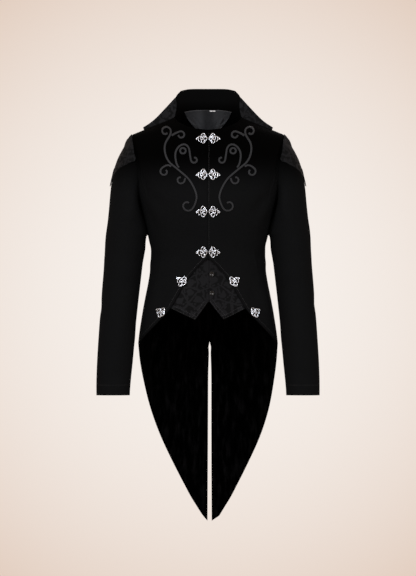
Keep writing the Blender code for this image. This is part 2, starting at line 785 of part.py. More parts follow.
def build_linings(back, satin, twill):
    deep = TWILL + SEAM + LINING
    points, normals = back
    middle = (slice(-NECK_LINING_COLUMNS, None), slice(NECK_LINING_ROWS))
    half, facing = points[middle].copy(), normals[middle].copy()
    half[-1, :, 0] = 0.0
    facing[-1, :, 0] = 0.0
    whole = np.concatenate([half, mirrored(half[-2::-1])])
    facings = np.concatenate([facing, mirrored(facing[-2::-1])])
    wall("neck_lining", whole, facings, -deep, -TWILL - SEAM, satin, turned=len(half) - 1)

    def on_lining(grid, across, down):
        near = grid[-1, 0] + (grid[-2, 0] - grid[-1, 0]) * across
        far = grid[-1, 1] + (grid[-2, 1] - grid[-1, 1]) * across
        return near + (far - near) * down

    corners = [[(across, down) for down in (LABEL.top, LABEL.bottom)] for across in (LABEL.first, LABEL.last)]
    spots = np.array([[on_lining(half, *corner) for corner in pair] for pair in corners])
    ways = np.array([[unit(on_lining(facing, *corner)) for corner in pair] for pair in corners])
    inside = -deep - LYING_GAP
    wall("neck_label", spots, ways, inside - LABEL.thickness, inside, satin)

    points, normals = points[:, TAIL_LINING_ROW:], normals[:, TAIL_LINING_ROW:]
    for name, side in (("tail_lining_left", 1), ("tail_lining_right", -1)):
        hung, facing = points.copy(), normals * np.array((side, 1.0, 1.0))
        lean_tails(hung, side)
        wall(name, hung, facing, -deep, -TWILL - SEAM, twill)


def build_waistcoat(front, brocade, plastic):
    fit = TWILL + WAISTCOAT_GAP
    for name, side, hem in (("waistcoat_left", 1.0, WAISTCOAT_LEFT), ("waistcoat_right", -1.0, WAISTCOAT_RIGHT)):
        points, normals = [], []
        for edge in hem:
            across = max(abs(edge.x), CLOSURE_GAP)
            flip = np.array((side if edge.x > 0 else -side, 1.0, 1.0))
            top = along(FRONT_HEM, "z", across) + WAISTCOAT_OVERLAP
            levels = np.linspace(max(top, edge.z + 0.004), edge.z, WAISTCOAT_ROWS)
            spots = [panel_spot(front, across, level) for level in levels]
            points.append([point * flip for point, _ in spots])
            normals.append([normal * flip for _, normal in spots])
        wall(name, np.array(points), np.array(normals), -fit - BROCADE, -fit, brocade)

    for button in BUTTONS:
        point, normal = form_spot(button.x, button.z)
        centre = point + (LYING_GAP - fit) * normal
        across = unit(np.cross(normal, (0.0, 0.0, 1.0)))
        up = np.cross(across, normal)
        mesh = bmesh.new()
        rings = []
        for ring in BUTTON_PROFILE:
            turns = [math.tau * k / BUTTON_SIDES for k in range(BUTTON_SIDES)]
            middle = centre + ring.height * normal
            spokes = [across * math.cos(t) + up * math.sin(t) for t in turns]
            rings.append([mesh.verts.new(middle + ring.radius * spoke) for spoke in spokes])
        mesh.faces.new(rings[0])
        mesh.faces.new(rings[-1])
        for low, high in zip(rings, rings[1:]):
            for k in range(BUTTON_SIDES):
                after = (k + 1) % BUTTON_SIDES
                mesh.faces.new((low[k], low[after], high[after], high[k]))
        face_out(mesh)
        add_mesh(button.name, mesh, plastic)


def curl_points(start, curl):
    """Points of a curl from a path's end, turning about its centre while its radius shrinks."""
    x, z = start.x - curl.x, start.z - curl.z
    radius, begin = math.hypot(x, z), math.atan2(z, x)
    count = max(round(abs(curl.degrees) / 30), 2)
    points = []
    for k in range(1, count + 1):
        share = k / count
        turn = begin + math.radians(curl.degrees) * share
        reach = radius * (1 + (curl.tighten - 1) * share)
        points.append(Edge(curl.x + reach * math.cos(turn), curl.z + reach * math.sin(turn)))
    return points


def smooth_path(points, step):
    """A smooth line through the points, cut into lengths near `step`."""
    line = []
    for k in range(len(points) - 1):
        before, a = points[max(k - 1, 0)], points[k]
        b, after = points[k + 1], points[min(k + 2, len(points) - 1)]
        count = max(round(math.hypot(b.x - a.x, b.z - a.z) / step), 1)
        for j in range(count):
            t = j / count
            weights = (
                (-t + 2 * t**2 - t**3) / 2,
                (2 - 5 * t**2 + 3 * t**3) / 2,
                (t + 4 * t**2 - 3 * t**3) / 2,
                (t**3 - t**2) / 2,
            )
            around = (before, a, b, after)
            x = sum(w * p.x for w, p in zip(weights, around))
            line.append(Edge(x, sum(w * p.z for w, p in zip(weights, around))))
    return line + [points[-1]]


def build_cord(name, line, front, closed, material):
    """A flat cord lying on a front along a line, on both breasts."""
    count = len(line)
    columns, facings = [], []
    for k, here in enumerate(line):
        before = line[(k - 1) % count if closed else max(k - 1, 0)]
        after = line[(k + 1) % count if closed else min(k + 1, count - 1)]
        across = np.array((after.z - before.z, before.x - after.x))
        x, z = across / np.linalg.norm(across) * CORD_WIDTH / 2
        ends = (Edge(here.x - x, here.z - z), Edge(here.x + x, here.z + z))
        spots = [panel_spot(front, end.x, end.z) for end in ends]
        columns.append([point for point, _ in spots])
        facings.append([normal for _, normal in spots])
    points, normals = np.array(columns), np.array(facings)
    for side, flip in (("left", 1.0), ("right", -1.0)):
        turn = np.array((flip, 1.0, 1.0))
        wall(f"{name}_{side}", points * turn, normals * turn, CORD_GAP, CORD_HEIGHT, material, closed)


def build_scrolls(front, braid):
    for cord in CORDS:
        points = list(cord.points)
        if cord.start:
            points = curl_points(points[0], cord.start)[::-1] + points
        points += curl_points(points[-1], cord.end)
        build_cord(cord.name, smooth_path(points, CORD_STEP), front, False, braid)
    turns = [math.tau * k / 12 for k in range(12)]
    eye = [Edge(EYE.x + EYE_RADIUS * math.cos(t), EYE.z + EYE_RADIUS * math.sin(t)) for t in turns]
    build_cord("scroll_eye", eye, front, True, braid)


def clasp_outlines():
    """The clasp's outline and its holes, as loops across (away from the centre) and up."""
    upper = [(lobe.degrees, lobe.radius) for lobe in CLASP_OUTLINE]
    lower = [(360 - turn, radius) for turn, radius in upper[-2:0:-1]]
    loops = [[(math.radians(turn), radius) for turn, radius in upper + lower]]
    loops = [[(r * math.cos(t), r * math.sin(t)) for t, r in loop] for loop in loops]
    for hole in CLASP_HOLES:
        turn = math.radians(hole.degrees)
        x, y = hole.radius * math.cos(turn), hole.radius * math.sin(turn)
        turns = [math.tau * k / 6 for k in range(6)]
        loops.append([(x + CLASP_HOLE * math.cos(t), y + CLASP_HOLE * math.sin(t)) for t in turns])
    return loops


def build_clasps(front, metal):
    for clasp in CLASPS:
        centre, normal = panel_spot(front, clasp.x, clasp.z)
        level = unit(np.cross((0.0, 0.0, 1.0), normal))
        rise = np.cross(normal, level)
        turn = math.radians(clasp.degrees)
        across = level * math.cos(turn) + rise * math.sin(turn)
        up = np.cross(normal, across)
        loops = clasp_outlines()
        around = [centre + a * across + b * up for a, b in loops[0]]
        under = [panel_spot(front, p[0], p[2])[0] for p in around]
        clear = LYING_GAP + max(float(np.dot(p - centre, normal)) for p in under + [centre])
        for side, flip in (("left", 1.0), ("right", -1.0)):
            mirror = np.array((flip, 1.0, 1.0))
            mesh = bmesh.new()
            edges = []
            for loop in loops:
                spots = [centre + a * across + b * up + clear * normal for a, b in loop]
                verts = [mesh.verts.new(spot * mirror) for spot in spots]
                edges += [mesh.edges.new(pair) for pair in zip(verts, verts[1:] + verts[:1])]
            bmesh.ops.triangle_fill(mesh, edges=edges, use_beauty=True, normal=normal * mirror)
            lifted = bmesh.ops.extrude_face_region(mesh, geom=list(mesh.faces), use_keep_orig=True)
            verts = [item for item in lifted["geom"] if isinstance(item, bmesh.types.BMVert)]
            bmesh.ops.translate(mesh, verts=verts, vec=CLASP_THICK * normal * mirror)
            face_out(mesh)
            add_mesh(f"{clasp.name}_{side}", mesh, metal)


def main():
    for obj in list(bpy.data.objects):
        bpy.data.objects.remove(obj)
    twill = cloth("black_twill", (0.012, 0.012, 0.013), 0.8)
    brocade = cloth("black_brocade", (0.014, 0.014, 0.015), 0.55)
    satin = cloth("grey_satin", (0.035, 0.034, 0.034), 0.4)
    braid = cloth("grey_braid", (0.06, 0.06, 0.06), 0.6)
    metal = cloth("silver_metal", (0.55, 0.55, 0.56), 0.3, metallic=1.0)
    plastic = cloth("black_plastic", (0.01, 0.01, 0.01), 0.35)
    front, back = front_grid(), back_grid()
    build_body(front, back, twill)
    sleeve = sleeve_grid(armhole_ring(front, back))
    build_sleeves(sleeve, twill)
    build_caps(sleeve, brocade)
    build_collar(twill, brocade)
    build_linings(back, satin, twill)
    build_waistcoat(front, brocade, plastic)
    build_scrolls(front, braid)
    build_clasps(front, metal)


main()
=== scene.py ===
import math
from collections import namedtuple

import bmesh
import bpy
from mathutils import Matrix, Vector
from mathutils.bvhtree import BVHTree


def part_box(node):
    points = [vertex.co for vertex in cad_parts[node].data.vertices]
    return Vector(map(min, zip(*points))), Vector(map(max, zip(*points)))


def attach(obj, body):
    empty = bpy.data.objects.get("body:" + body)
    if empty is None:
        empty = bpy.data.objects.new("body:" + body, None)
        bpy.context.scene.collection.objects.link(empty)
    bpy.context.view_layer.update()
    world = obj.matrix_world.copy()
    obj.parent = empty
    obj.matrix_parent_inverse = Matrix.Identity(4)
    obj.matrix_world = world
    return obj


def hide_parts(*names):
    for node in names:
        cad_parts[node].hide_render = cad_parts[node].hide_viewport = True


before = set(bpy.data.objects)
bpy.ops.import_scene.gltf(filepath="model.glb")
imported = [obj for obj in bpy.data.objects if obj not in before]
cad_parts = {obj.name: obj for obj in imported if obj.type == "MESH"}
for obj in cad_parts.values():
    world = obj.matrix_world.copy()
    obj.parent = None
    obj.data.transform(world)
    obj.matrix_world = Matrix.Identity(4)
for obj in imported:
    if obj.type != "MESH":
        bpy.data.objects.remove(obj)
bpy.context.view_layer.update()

scene = bpy.context.scene


# Camera: level with the middle of the coat, and so far off that near and far parts keep one scale,
# as in a shop's flat picture of a garment. Its picture is 1.411 m high at the coat.
CAMERA_AWAY = 40.0
PICTURE_HEIGHT = 1.4112
MIDDLE_HEIGHT = -0.4140
SENSOR = 36.0

camera_data = bpy.data.cameras.new("camera")
camera_data.sensor_fit = "VERTICAL"
camera_data.sensor_height = SENSOR
camera_data.lens = SENSOR * CAMERA_AWAY / PICTURE_HEIGHT
camera_data.clip_end = 5 * CAMERA_AWAY
camera = bpy.data.objects.new("camera", camera_data)
camera.location = (0.0, -CAMERA_AWAY, MIDDLE_HEIGHT)
camera.rotation_euler = (math.radians(90), 0.0, 0.0)
scene.collection.objects.link(camera)
scene.camera = camera
scene.view_settings.view_transform = "Standard"


# Studio: a warm white room, brightest behind the coat, with two large soft lamps in front.
# The floor is pale and matt, and lies below the picture.
def linear(colour):
    """A sRGB hex colour as the linear red, green, blue and alpha that a shader takes."""
    shares = [int(colour[k : k + 2], 16) / 255 for k in (1, 3, 5)]
    return (*[s / 12.92 if s <= 0.04045 else ((s + 0.055) / 1.055) ** 2.4 for s in shares], 1.0)


def add_node(tree, kind, inputs=None, **settings):
    """A node with its settings, and with each named input either linked or set."""
    made = tree.nodes.new(kind)
    for name, value in settings.items():
        setattr(made, name, value)
    for name, value in (inputs or {}).items():
        if isinstance(value, bpy.types.NodeSocket):
            tree.links.new(value, made.inputs[name])
        else:
            made.inputs[name].default_value = value
    return made


def start_material(name, **constants):
    """A material, its node tree and its shader, with the shader's constant settings."""
    made = bpy.data.materials.new(name)
    made.use_nodes = True
    shader = made.node_tree.nodes["Principled BSDF"]
    for socket, value in constants.items():
        shader.inputs[socket.replace("_", " ")].default_value = value
    return made, made.node_tree, shader


def blended(tree, share, first, second):
    """A colour that goes from the first to the second as the share goes from 0 to 1."""
    mix = add_node(tree, "ShaderNodeMix", {"Factor": share, "A": first, "B": second}, data_type="RGBA")
    return mix.outputs["Result"]


def ramp(tree, value, start, end, first=0.0, last=1.0, curve="LINEAR"):
    """A number that goes from first to last as the value goes from start to end."""
    made = add_node(
        tree,
        "ShaderNodeMapRange",
        {"Value": value, "From Min": start, "From Max": end, "To Min": first, "To Max": last},
        interpolation_type=curve,
    )
    return made.outputs["Result"]


GLOW_DEGREES = 1.24
room = bpy.data.worlds.new("warm_room")
room.use_nodes = True
scene.world = room
tree = room.node_tree
direction = add_node(tree, "ShaderNodeTexCoord").outputs["Generated"]
ahead = add_node(tree, "ShaderNodeVectorMath", {0: direction, 1: (0.0, 1.0, 0.0)}, operation="DOT_PRODUCT")
glow = ramp(tree, ahead.outputs["Value"], math.cos(math.radians(GLOW_DEGREES)), 1.0)
tone = blended(tree, glow, linear("#E3CFC1"), linear("#F7F1EC"))
tree.links.new(tone, tree.nodes["Background"].inputs["Color"])

Lamp = namedtuple("Lamp", "name x y z size watts")
LAMPS = (
    Lamp("key_lamp", -2.2, -3.4, 1.6, 1.8, 150.0),
    Lamp("fill_lamp", 2.6, -3.0, 0.8, 1.8, 80.0),
    Lamp("back_lamp", 0.4, 3.0, 1.8, 1.6, 60.0),
)
LAMPS_AIM = Vector((0.0, 0.0, -0.35))
for lamp in LAMPS:
    light = bpy.data.lights.new(lamp.name, "AREA")
    light.size = lamp.size
    light.energy = lamp.watts
    light.color = linear("#FBFCFF")[:3]
    lamp_object = bpy.data.objects.new(lamp.name, light)
    lamp_object.location = (lamp.x, lamp.y, lamp.z)
    beam = LAMPS_AIM - lamp_object.location
    lamp_object.rotation_euler = beam.to_track_quat("-Z", "Y").to_euler()
    scene.collection.objects.link(lamp_object)

FLOOR_HEIGHT = -1.45
FLOOR_RADIUS = 3.0
disc = bmesh.new()
bmesh.ops.create_circle(disc, cap_ends=True, segments=96, radius=FLOOR_RADIUS)
bmesh.ops.translate(disc, verts=disc.verts, vec=(0.0, 0.0, FLOOR_HEIGHT))
floor_mesh = bpy.data.meshes.new("floor")
disc.to_mesh(floor_mesh)
disc.free()
floor = bpy.data.objects.new("floor", floor_mesh)
scene.collection.objects.link(floor)

# Painted board: matt emulsion, rolled on, so only a faint unevenness of tone.
painted_board, tree, shader = start_material("painted_board", Roughness=0.9, Specular_IOR_Level=0.2)
spot = add_node(tree, "ShaderNodeTexCoord").outputs["Object"]
mottle = add_node(tree, "ShaderNodeTexNoise", {"Vector": spot, "Scale": 3.0, "Detail": 2.0})
tone = blended(tree, mottle.outputs["Fac"], linear("#A79D93"), linear("#B1A79D"))
tree.links.new(tone, shader.inputs["Base Color"])
floor_mesh.materials.append(painted_board)


# Fronts and backs: black wool-mix twill, cut in two fronts and two long tailed backs.
# They hang from the shoulders, and soft folds run from the armholes, the bust and the waist.
TWILL_WALE, WALE_SLANT = 2.4, math.radians(-58)
NAP_TUFT = 9.0
SLACK_PATCH = 60.0
BODY_ROUND = 0.130
BODY_ACROSS, BODY_DEEP = 0.160, 0.110
# Edges of a solid that turn more than this stay sharp, and short ones across its wall sooner.
RIM_TURN, CORNER_TURN, WALL_EDGE = math.radians(38), math.radians(22), 0.0026
# Triangles that turn and skew less than this make one face. Merged corners are nearer than SAME_PLACE.
PAIR_TURN, PAIR_SKEW, SAME_PLACE = math.radians(35), math.radians(75), 1e-5
SHADED_SHARP = math.radians(50)
# A fold runs on past its ends by a share of its length, reaches so many widths, and fades by a share.
FOLD_RUNS_ON, FOLD_WIDTHS, FOLD_FADE = 0.5, 3.0, 0.45

Fold = namedtuple("Fold", "seen side from_a from_z to_a to_z width depth")
# A fold is a ridge, or a trough where its depth is negative, drawn between two places that are
# seen from the front, the back or a side. side is 1 on the wearer's left, and -1 on the right.
FOLDS = (
    Fold("front", 1, 0.148, -0.185, 0.105, -0.232, 0.010, -0.0028),
    Fold("front", 1, 0.152, -0.208, 0.120, -0.262, 0.009, 0.0022),
    Fold("front", -1, 0.150, -0.180, 0.098, -0.222, 0.011, -0.0026),
    Fold("front", -1, 0.150, -0.214, 0.126, -0.275, 0.009, -0.0020),
    Fold("front", 1, 0.040, -0.250, 0.062, -0.345, 0.014, -0.0022),
    Fold("front", -1, 0.044, -0.258, 0.058, -0.335, 0.013, -0.0024),
    Fold("front", 1, 0.070, -0.318, 0.134, -0.338, 0.008, -0.0018),
    Fold("front", 1, 0.082, -0.352, 0.136, -0.358, 0.009, 0.0016),
    Fold("front", -1, 0.076, -0.330, 0.132, -0.346, 0.008, -0.0020),
    Fold("front", -1, 0.090, -0.360, 0.138, -0.372, 0.009, 0.0014),
    Fold("front", 1, 0.128, -0.400, 0.150, -0.500, 0.013, 0.0024),
    Fold("front", 1, 0.104, -0.405, 0.116, -0.462, 0.012, -0.0018),
    Fold("front", -1, 0.126, -0.392, 0.148, -0.506, 0.014, 0.0022),
    Fold("front", -1, 0.100, -0.400, 0.120, -0.470, 0.012, -0.0020),
    Fold("front", 1, 0.020, -0.150, 0.034, -0.210, 0.012, 0.0014),
    Fold("front", -1, 0.022, -0.160, 0.032, -0.216, 0.012, 0.0012),
    Fold("back", 1, 0.146, -0.170, 0.092, -0.120, 0.012, -0.0026),
    Fold("back", 1, 0.150, -0.200, 0.104, -0.236, 0.010, 0.0024),
    Fold("back", -1, 0.148, -0.176, 0.098, -0.118, 0.012, -0.0024),
    Fold("back", -1, 0.148, -0.206, 0.108, -0.250, 0.011, 0.0022),
    Fold("back", 1, 0.012, -0.292, 0.112, -0.312, 0.008, -0.0024),
    Fold("back", -1, 0.010, -0.300, 0.118, -0.322, 0.008, -0.0022),
    Fold("back", 1, 0.030, -0.340, 0.126, -0.342, 0.009, 0.0020),
    Fold("back", -1, 0.024, -0.346, 0.120, -0.360, 0.009, 0.0022),
    Fold("back", 1, 0.050, -0.372, 0.118, -0.388, 0.008, -0.0018),
    Fold("back", 1, 0.062, -0.420, 0.070, -0.640, 0.016, 0.0030),
    Fold("back", -1, 0.056, -0.430, 0.066, -0.660, 0.016, 0.0028),
    Fold("back", 1, 0.104, -0.440, 0.112, -0.600, 0.014, -0.0026),
    Fold("back", -1, 0.108, -0.435, 0.108, -0.590, 0.014, -0.0028),
    Fold("back", 1, 0.034, -0.640, 0.030, -0.860, 0.013, -0.0024),
    Fold("back", -1, 0.030, -0.620, 0.034, -0.850, 0.013, -0.0026),
    Fold("side", 1, 0.020, -0.300, -0.050, -0.330, 0.009, -0.0020),
    Fold("side", 1, 0.030, -0.356, -0.040, -0.350, 0.009, 0.0018),
    Fold("side", -1, 0.024, -0.306, -0.056, -0.338, 0.009, -0.0022),
    Fold("side", -1, 0.034, -0.362, -0.036, -0.352, 0.009, 0.0016),
    Fold("side", 1, -0.040, -0.400, -0.044, -0.520, 0.013, 0.0020),
    Fold("side", -1, -0.036, -0.396, -0.042, -0.530, 0.013, 0.0020),
)


def clamped(share):
    """A share held between 0 and 1."""
    return min(max(share, 0.0), 1.0)


def closed_shape(*names):
    """The joined faces of CAD nodes, with their corners merged, to cast rays at."""
    shape = bmesh.new()
    for name in names:
        shape.from_mesh(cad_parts[name].data)
    bmesh.ops.remove_doubles(shape, verts=shape.verts, dist=SAME_PLACE)
    found = BVHTree.FromBMesh(shape)
    shape.free()
    return found


def cast(shape, seen, side, across, height):
    """Where a line from the front, the back or a side first meets a shape."""
    starts = {
        "front": (Vector((side * across, -1.0, height)), Vector((0.0, 1.0, 0.0))),
        "back": (Vector((side * across, 1.0, height)), Vector((0.0, -1.0, 0.0))),
        "side": (Vector((side, across, height)), Vector((-side, 0.0, 0.0))),
    }
    return shape.ray_cast(*starts[seen])[0]


def laid_folds(shape, folds):
    """Each fold as its two ends on the shape, its width and its depth."""
    laid = []
    for fold in folds:
        start = cast(shape, fold.seen, fold.side, fold.from_a, fold.from_z)
        end = cast(shape, fold.seen, fold.side, fold.to_a, fold.to_z)
        laid.append((start, end, fold.width, fold.depth))
    return laid


def fold_rise(laid, point):
    """How far the folds lift or sink the cloth at a point. Each fades out at its two ends."""
    rise = 0.0
    for start, end, width, depth in laid:
        line = end - start
        along = (point - start).dot(line) / line.length_squared
        if not -FOLD_RUNS_ON < along < 1.0 + FOLD_RUNS_ON:
            continue
        along = clamped(along)
        bend = start + line * along
        away = (point - bend).length / width
        if away < FOLD_WIDTHS:
            fade = 1.0 - FOLD_FADE * math.cos(math.tau * along)
            rise += depth * math.exp(-0.5 * away * away) * fade
    return rise


body_shape = closed_shape("front_left", "front_right", "back_left", "back_right")
body_laid = laid_folds(body_shape, FOLDS)


# The vent between the tails is rounded at its top and hangs a little closer below.
VENT_MIDDLE, VENT_TOP, VENT_REACH = 0.0043, -0.549, 0.014
VENT_ROUND, VENT_START, VENT_FALL = 0.0026, 0.001, 0.014
VENT_SHUT, VENT_RUN = 0.0010, 0.050


def vent_shift(point):
    """How far a point beside the vent moves across: away from it at its top, and toward it below."""
    drop = VENT_TOP - point.z
    if drop <= 0.0 or point.y < 0.0:
        return 0.0
    open_top = VENT_ROUND * min(drop / VENT_START, 1.0) * math.exp(-((drop / VENT_FALL) ** 2))
    shut = VENT_SHUT * min(drop / VENT_RUN, 1.0)
    away = point.x - VENT_MIDDLE
    return math.copysign(1.0, away) * (open_top - shut) * math.exp(-((away / VENT_REACH) ** 2))


def body_folded(point):
    """A point of the body, moved outward by its folds."""
    outward = Vector((point.x / BODY_ACROSS**2, point.y / BODY_DEEP**2, 0.0)).normalized()
    return point + outward * fold_rise(body_laid, point) + Vector((vent_shift(point), 0.0, 0.0))


def body_wrap(point):
    """The way round the body as a turn, and the height."""
    return math.atan2(point.x, -point.y), point.z


def finished_mesh(holder):
    """An object's mesh, with its modifiers applied or its curve filled."""
    return bpy.data.meshes.new_from_object(holder.evaluated_get(bpy.context.evaluated_depsgraph_get()))


def smooth_copy(name, levels):
    """A copy of a CAD node's mesh: merged, its pairs of triangles joined, subdivided into cloth.

    The cut edges of the wall are kept sharp, and the smooth shape follows the rest.
    """
    shape = bmesh.new()
    shape.from_mesh(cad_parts[name].data)
    bmesh.ops.remove_doubles(shape, verts=shape.verts, dist=SAME_PLACE)
    bmesh.ops.join_triangles(
        shape, faces=shape.faces, angle_face_threshold=PAIR_TURN, angle_shape_threshold=PAIR_SKEW
    )
    sharp = shape.edges.layers.float.new("crease_edge")
    for edge in shape.edges:
        if len(edge.link_faces) != 2:
            continue
        turn = edge.calc_face_angle()
        wall_edge = edge.calc_length() < WALL_EDGE and turn > CORNER_TURN
        if turn > RIM_TURN or wall_edge:
            edge[sharp] = 1.0
    data = bpy.data.meshes.new(name + "_coarse")
    shape.to_mesh(data)
    shape.free()
    coarse = bpy.data.objects.new(name + "_coarse", data)
    scene.collection.objects.link(coarse)
    subdivision = coarse.modifiers.new("subdivision", "SUBSURF")
    subdivision.levels = subdivision.render_levels = levels
    finished = finished_mesh(coarse)
    bpy.data.objects.remove(coarse)
    bpy.data.meshes.remove(data)
    return finished


def wrap_round(data, wrap, radius):
    """A UV map in metres: the way round times a radius, and the way along."""
    layer = data.uv_layers.new(name="cut")
    for face in data.polygons:
        home = wrap(face.center)[0]
        for loop in face.loop_indices:
            turn, along = wrap(data.vertices[data.loops[loop].vertex_index].co)
            turn = home + (turn - home + math.pi) % math.tau - math.pi
            layer.data[loop].uv = (turn * radius, along)


smooth_meshes = {}


def sew(reach, *names):
    """Draws the edges of neighbouring cloths together, so that no light shows between them."""
    shapes = {}
    for name in names:
        if name not in smooth_meshes:
            smooth_meshes[name] = smooth_copy(name, SMOOTH_LEVELS.get(name.rsplit("_", 1)[0], 2))
        data = smooth_meshes[name]
        faces = [face.vertices[:] for face in data.polygons]
        shapes[name] = BVHTree.FromPolygons([vertex.co.copy() for vertex in data.vertices], faces)
    for name in names:
        boxes = [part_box(other) for other in names]
        for vertex in smooth_meshes[name].vertices:
            pull = None
            for other, (low, high) in zip(names, boxes):
                if other == name:
                    continue
                if not all(low[k] - reach < vertex.co[k] < high[k] + reach for k in range(3)):
                    continue
                found = shapes[other].find_nearest(vertex.co, reach)
                if found[0] is not None and (pull is None or found[3] < pull.length):
                    pull = found[0] - vertex.co
            if pull is not None:
                vertex.co = vertex.co + pull * SEWN_SHARE


def cloth_piece(node, name, material, levels, moved, wrap, radius):
    """A cloth piece in the place of a CAD node, with its folds, its UV map and its material."""
    data = smooth_meshes.pop(node, None) or smooth_copy(node, levels)
    for old in list(data.attributes):
        if old.name in ("crease_edge", "UVMap"):
            data.attributes.remove(old)
    for vertex in data.vertices:
        vertex.co = moved(vertex.co)
    wrap_round(data, wrap, radius)
    data.shade_smooth()
    data.set_sharp_from_angle(angle=SHADED_SHARP)
    data.name = name
    data.materials.clear()
    data.materials.append(material)
    piece = bpy.data.objects.new(name, data)
    scene.collection.objects.link(piece)
    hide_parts(node)
    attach(piece, "root")
    return piece


def scale_of(millimetres):
    """A noise's or a cell pattern's scale from the size of one of its features."""
    return 1000.0 / millimetres


def bands_of(millimetres):
    """A wave texture's scale from the spacing of its bands."""
    return math.tau / 20.0 * 1000.0 / millimetres


def mottled(tree, place, millimetres, detail):
    """An uneven pattern with features of about one size."""
    return add_node(
        tree, "ShaderNodeTexNoise", {"Vector": place, "Scale": scale_of(millimetres), "Detail": detail}
    )


def raised(tree, height, strength, distance, under=None):
    """A relief as high as a pattern says, laid over another one where that is given."""
    inputs = {"Height": height, "Strength": strength, "Distance": distance}
    if under is not None:
        inputs["Normal"] = under
    return add_node(tree, "ShaderNodeBump", inputs).outputs["Normal"]


# Wool-mix twill, woven and lightly brushed: fine slanting wales under a short nap that mutes them.
# The real wale is about 1 mm. It is drawn 2.4 mm apart, or it wouldn't show at all.
wool_twill, tree, shader = start_material(
    "wool_twill", Roughness=0.85, Specular_IOR_Level=0.008, Sheen_Weight=0.002, Sheen_Roughness=0.5
)
cut = add_node(tree, "ShaderNodeUVMap", uv_map="cut").outputs["UV"]
slant = add_node(tree, "ShaderNodeMapping", {"Vector": cut, "Rotation": (0.0, 0.0, WALE_SLANT)})
wale = add_node(
    tree,
    "ShaderNodeTexWave",
    {"Vector": slant.outputs["Vector"], "Scale": bands_of(TWILL_WALE), "Distortion": 0.6, "Detail": 1.0},
    wave_type="BANDS",
    bands_direction="X",
)
tuft = mottled(tree, cut, NAP_TUFT, 4.0)
patch = mottled(tree, cut, SLACK_PATCH, 2.0)
place = add_node(tree, "ShaderNodeTexCoord").outputs["Object"]
height = add_node(tree, "ShaderNodeSeparateXYZ", {"Vector": place}).outputs["Z"]
# Painted shade: the base colour of the upper chest and shoulders is darkened toward black by height,
# and less so on the collar above them. Heights are in metres.
CHEST_SHADE_STARTS, CHEST_SHADE_FULL = -0.190, -0.082
COLLAR_SHADE_EASES, COLLAR_SHADE_EASED, COLLAR_SHADE_LEFT = 0.020, 0.045, 0.62
chest_shade = ramp(tree, height, CHEST_SHADE_STARTS, CHEST_SHADE_FULL, curve="SMOOTHSTEP")
upright = ramp(tree, height, COLLAR_SHADE_EASES, COLLAR_SHADE_EASED, 1.0, COLLAR_SHADE_LEFT)
# depth is the share of painted shade at each height: full on the upper chest, less on the collar.
depth = add_node(tree, "ShaderNodeMath", {0: chest_shade, 1: upright}, operation="MULTIPLY").outputs["Value"]
worn = blended(tree, tuft.outputs["Fac"], linear("#090A0B"), linear("#0E0F10"))
even = blended(tree, patch.outputs["Fac"], worn, linear("#0B0C0D"))
# Painted shade: the upper chest's colour goes toward black by that share.
shaded = blended(tree, depth, even, linear("#010101"))
tree.links.new(shaded, shader.inputs["Base Color"])
wales_up = raised(tree, wale.outputs["Fac"], 0.25, 0.0003)
nap_up = raised(tree, tuft.outputs["Fac"], 0.3, 0.0006, wales_up)
tree.links.new(nap_up, shader.inputs["Normal"])

SMOOTH_LEVELS = {"sleeve": 3, "collar_wing": 3}
# How near two edges must lie to be sewn, in metres, and the share of the gap that each is drawn over.
SEAM_REACH, WING_REACH, SEWN_SHARE = 0.0022, 0.0045, 0.5
sew(SEAM_REACH, "front_left", "front_right")
sew(SEAM_REACH, "tail_lining_left", "tail_lining_right")
sew(WING_REACH, "waistcoat_left", "waistcoat_right")
sew(WING_REACH, "collar_wing_left", "front_left", "back_left")
sew(WING_REACH, "collar_wing_right", "front_right", "back_right")
paired = ("front", "back", "sleeve", "collar_wing")
sew(SEAM_REACH, "collar_back", *[part + "_" + side for part in paired for side in ("left", "right")])
fronts = []
for side in ("left", "right"):
    front = cloth_piece(
        "front_" + side,
        "twill_front_" + side,
        wool_twill,
        2,
        body_folded,
        body_wrap,
        BODY_ROUND,
    )
    fronts.append(front)
    back = cloth_piece(
        "back_" + side, "twill_back_" + side, wool_twill, 2, body_folded, body_wrap, BODY_ROUND
    )


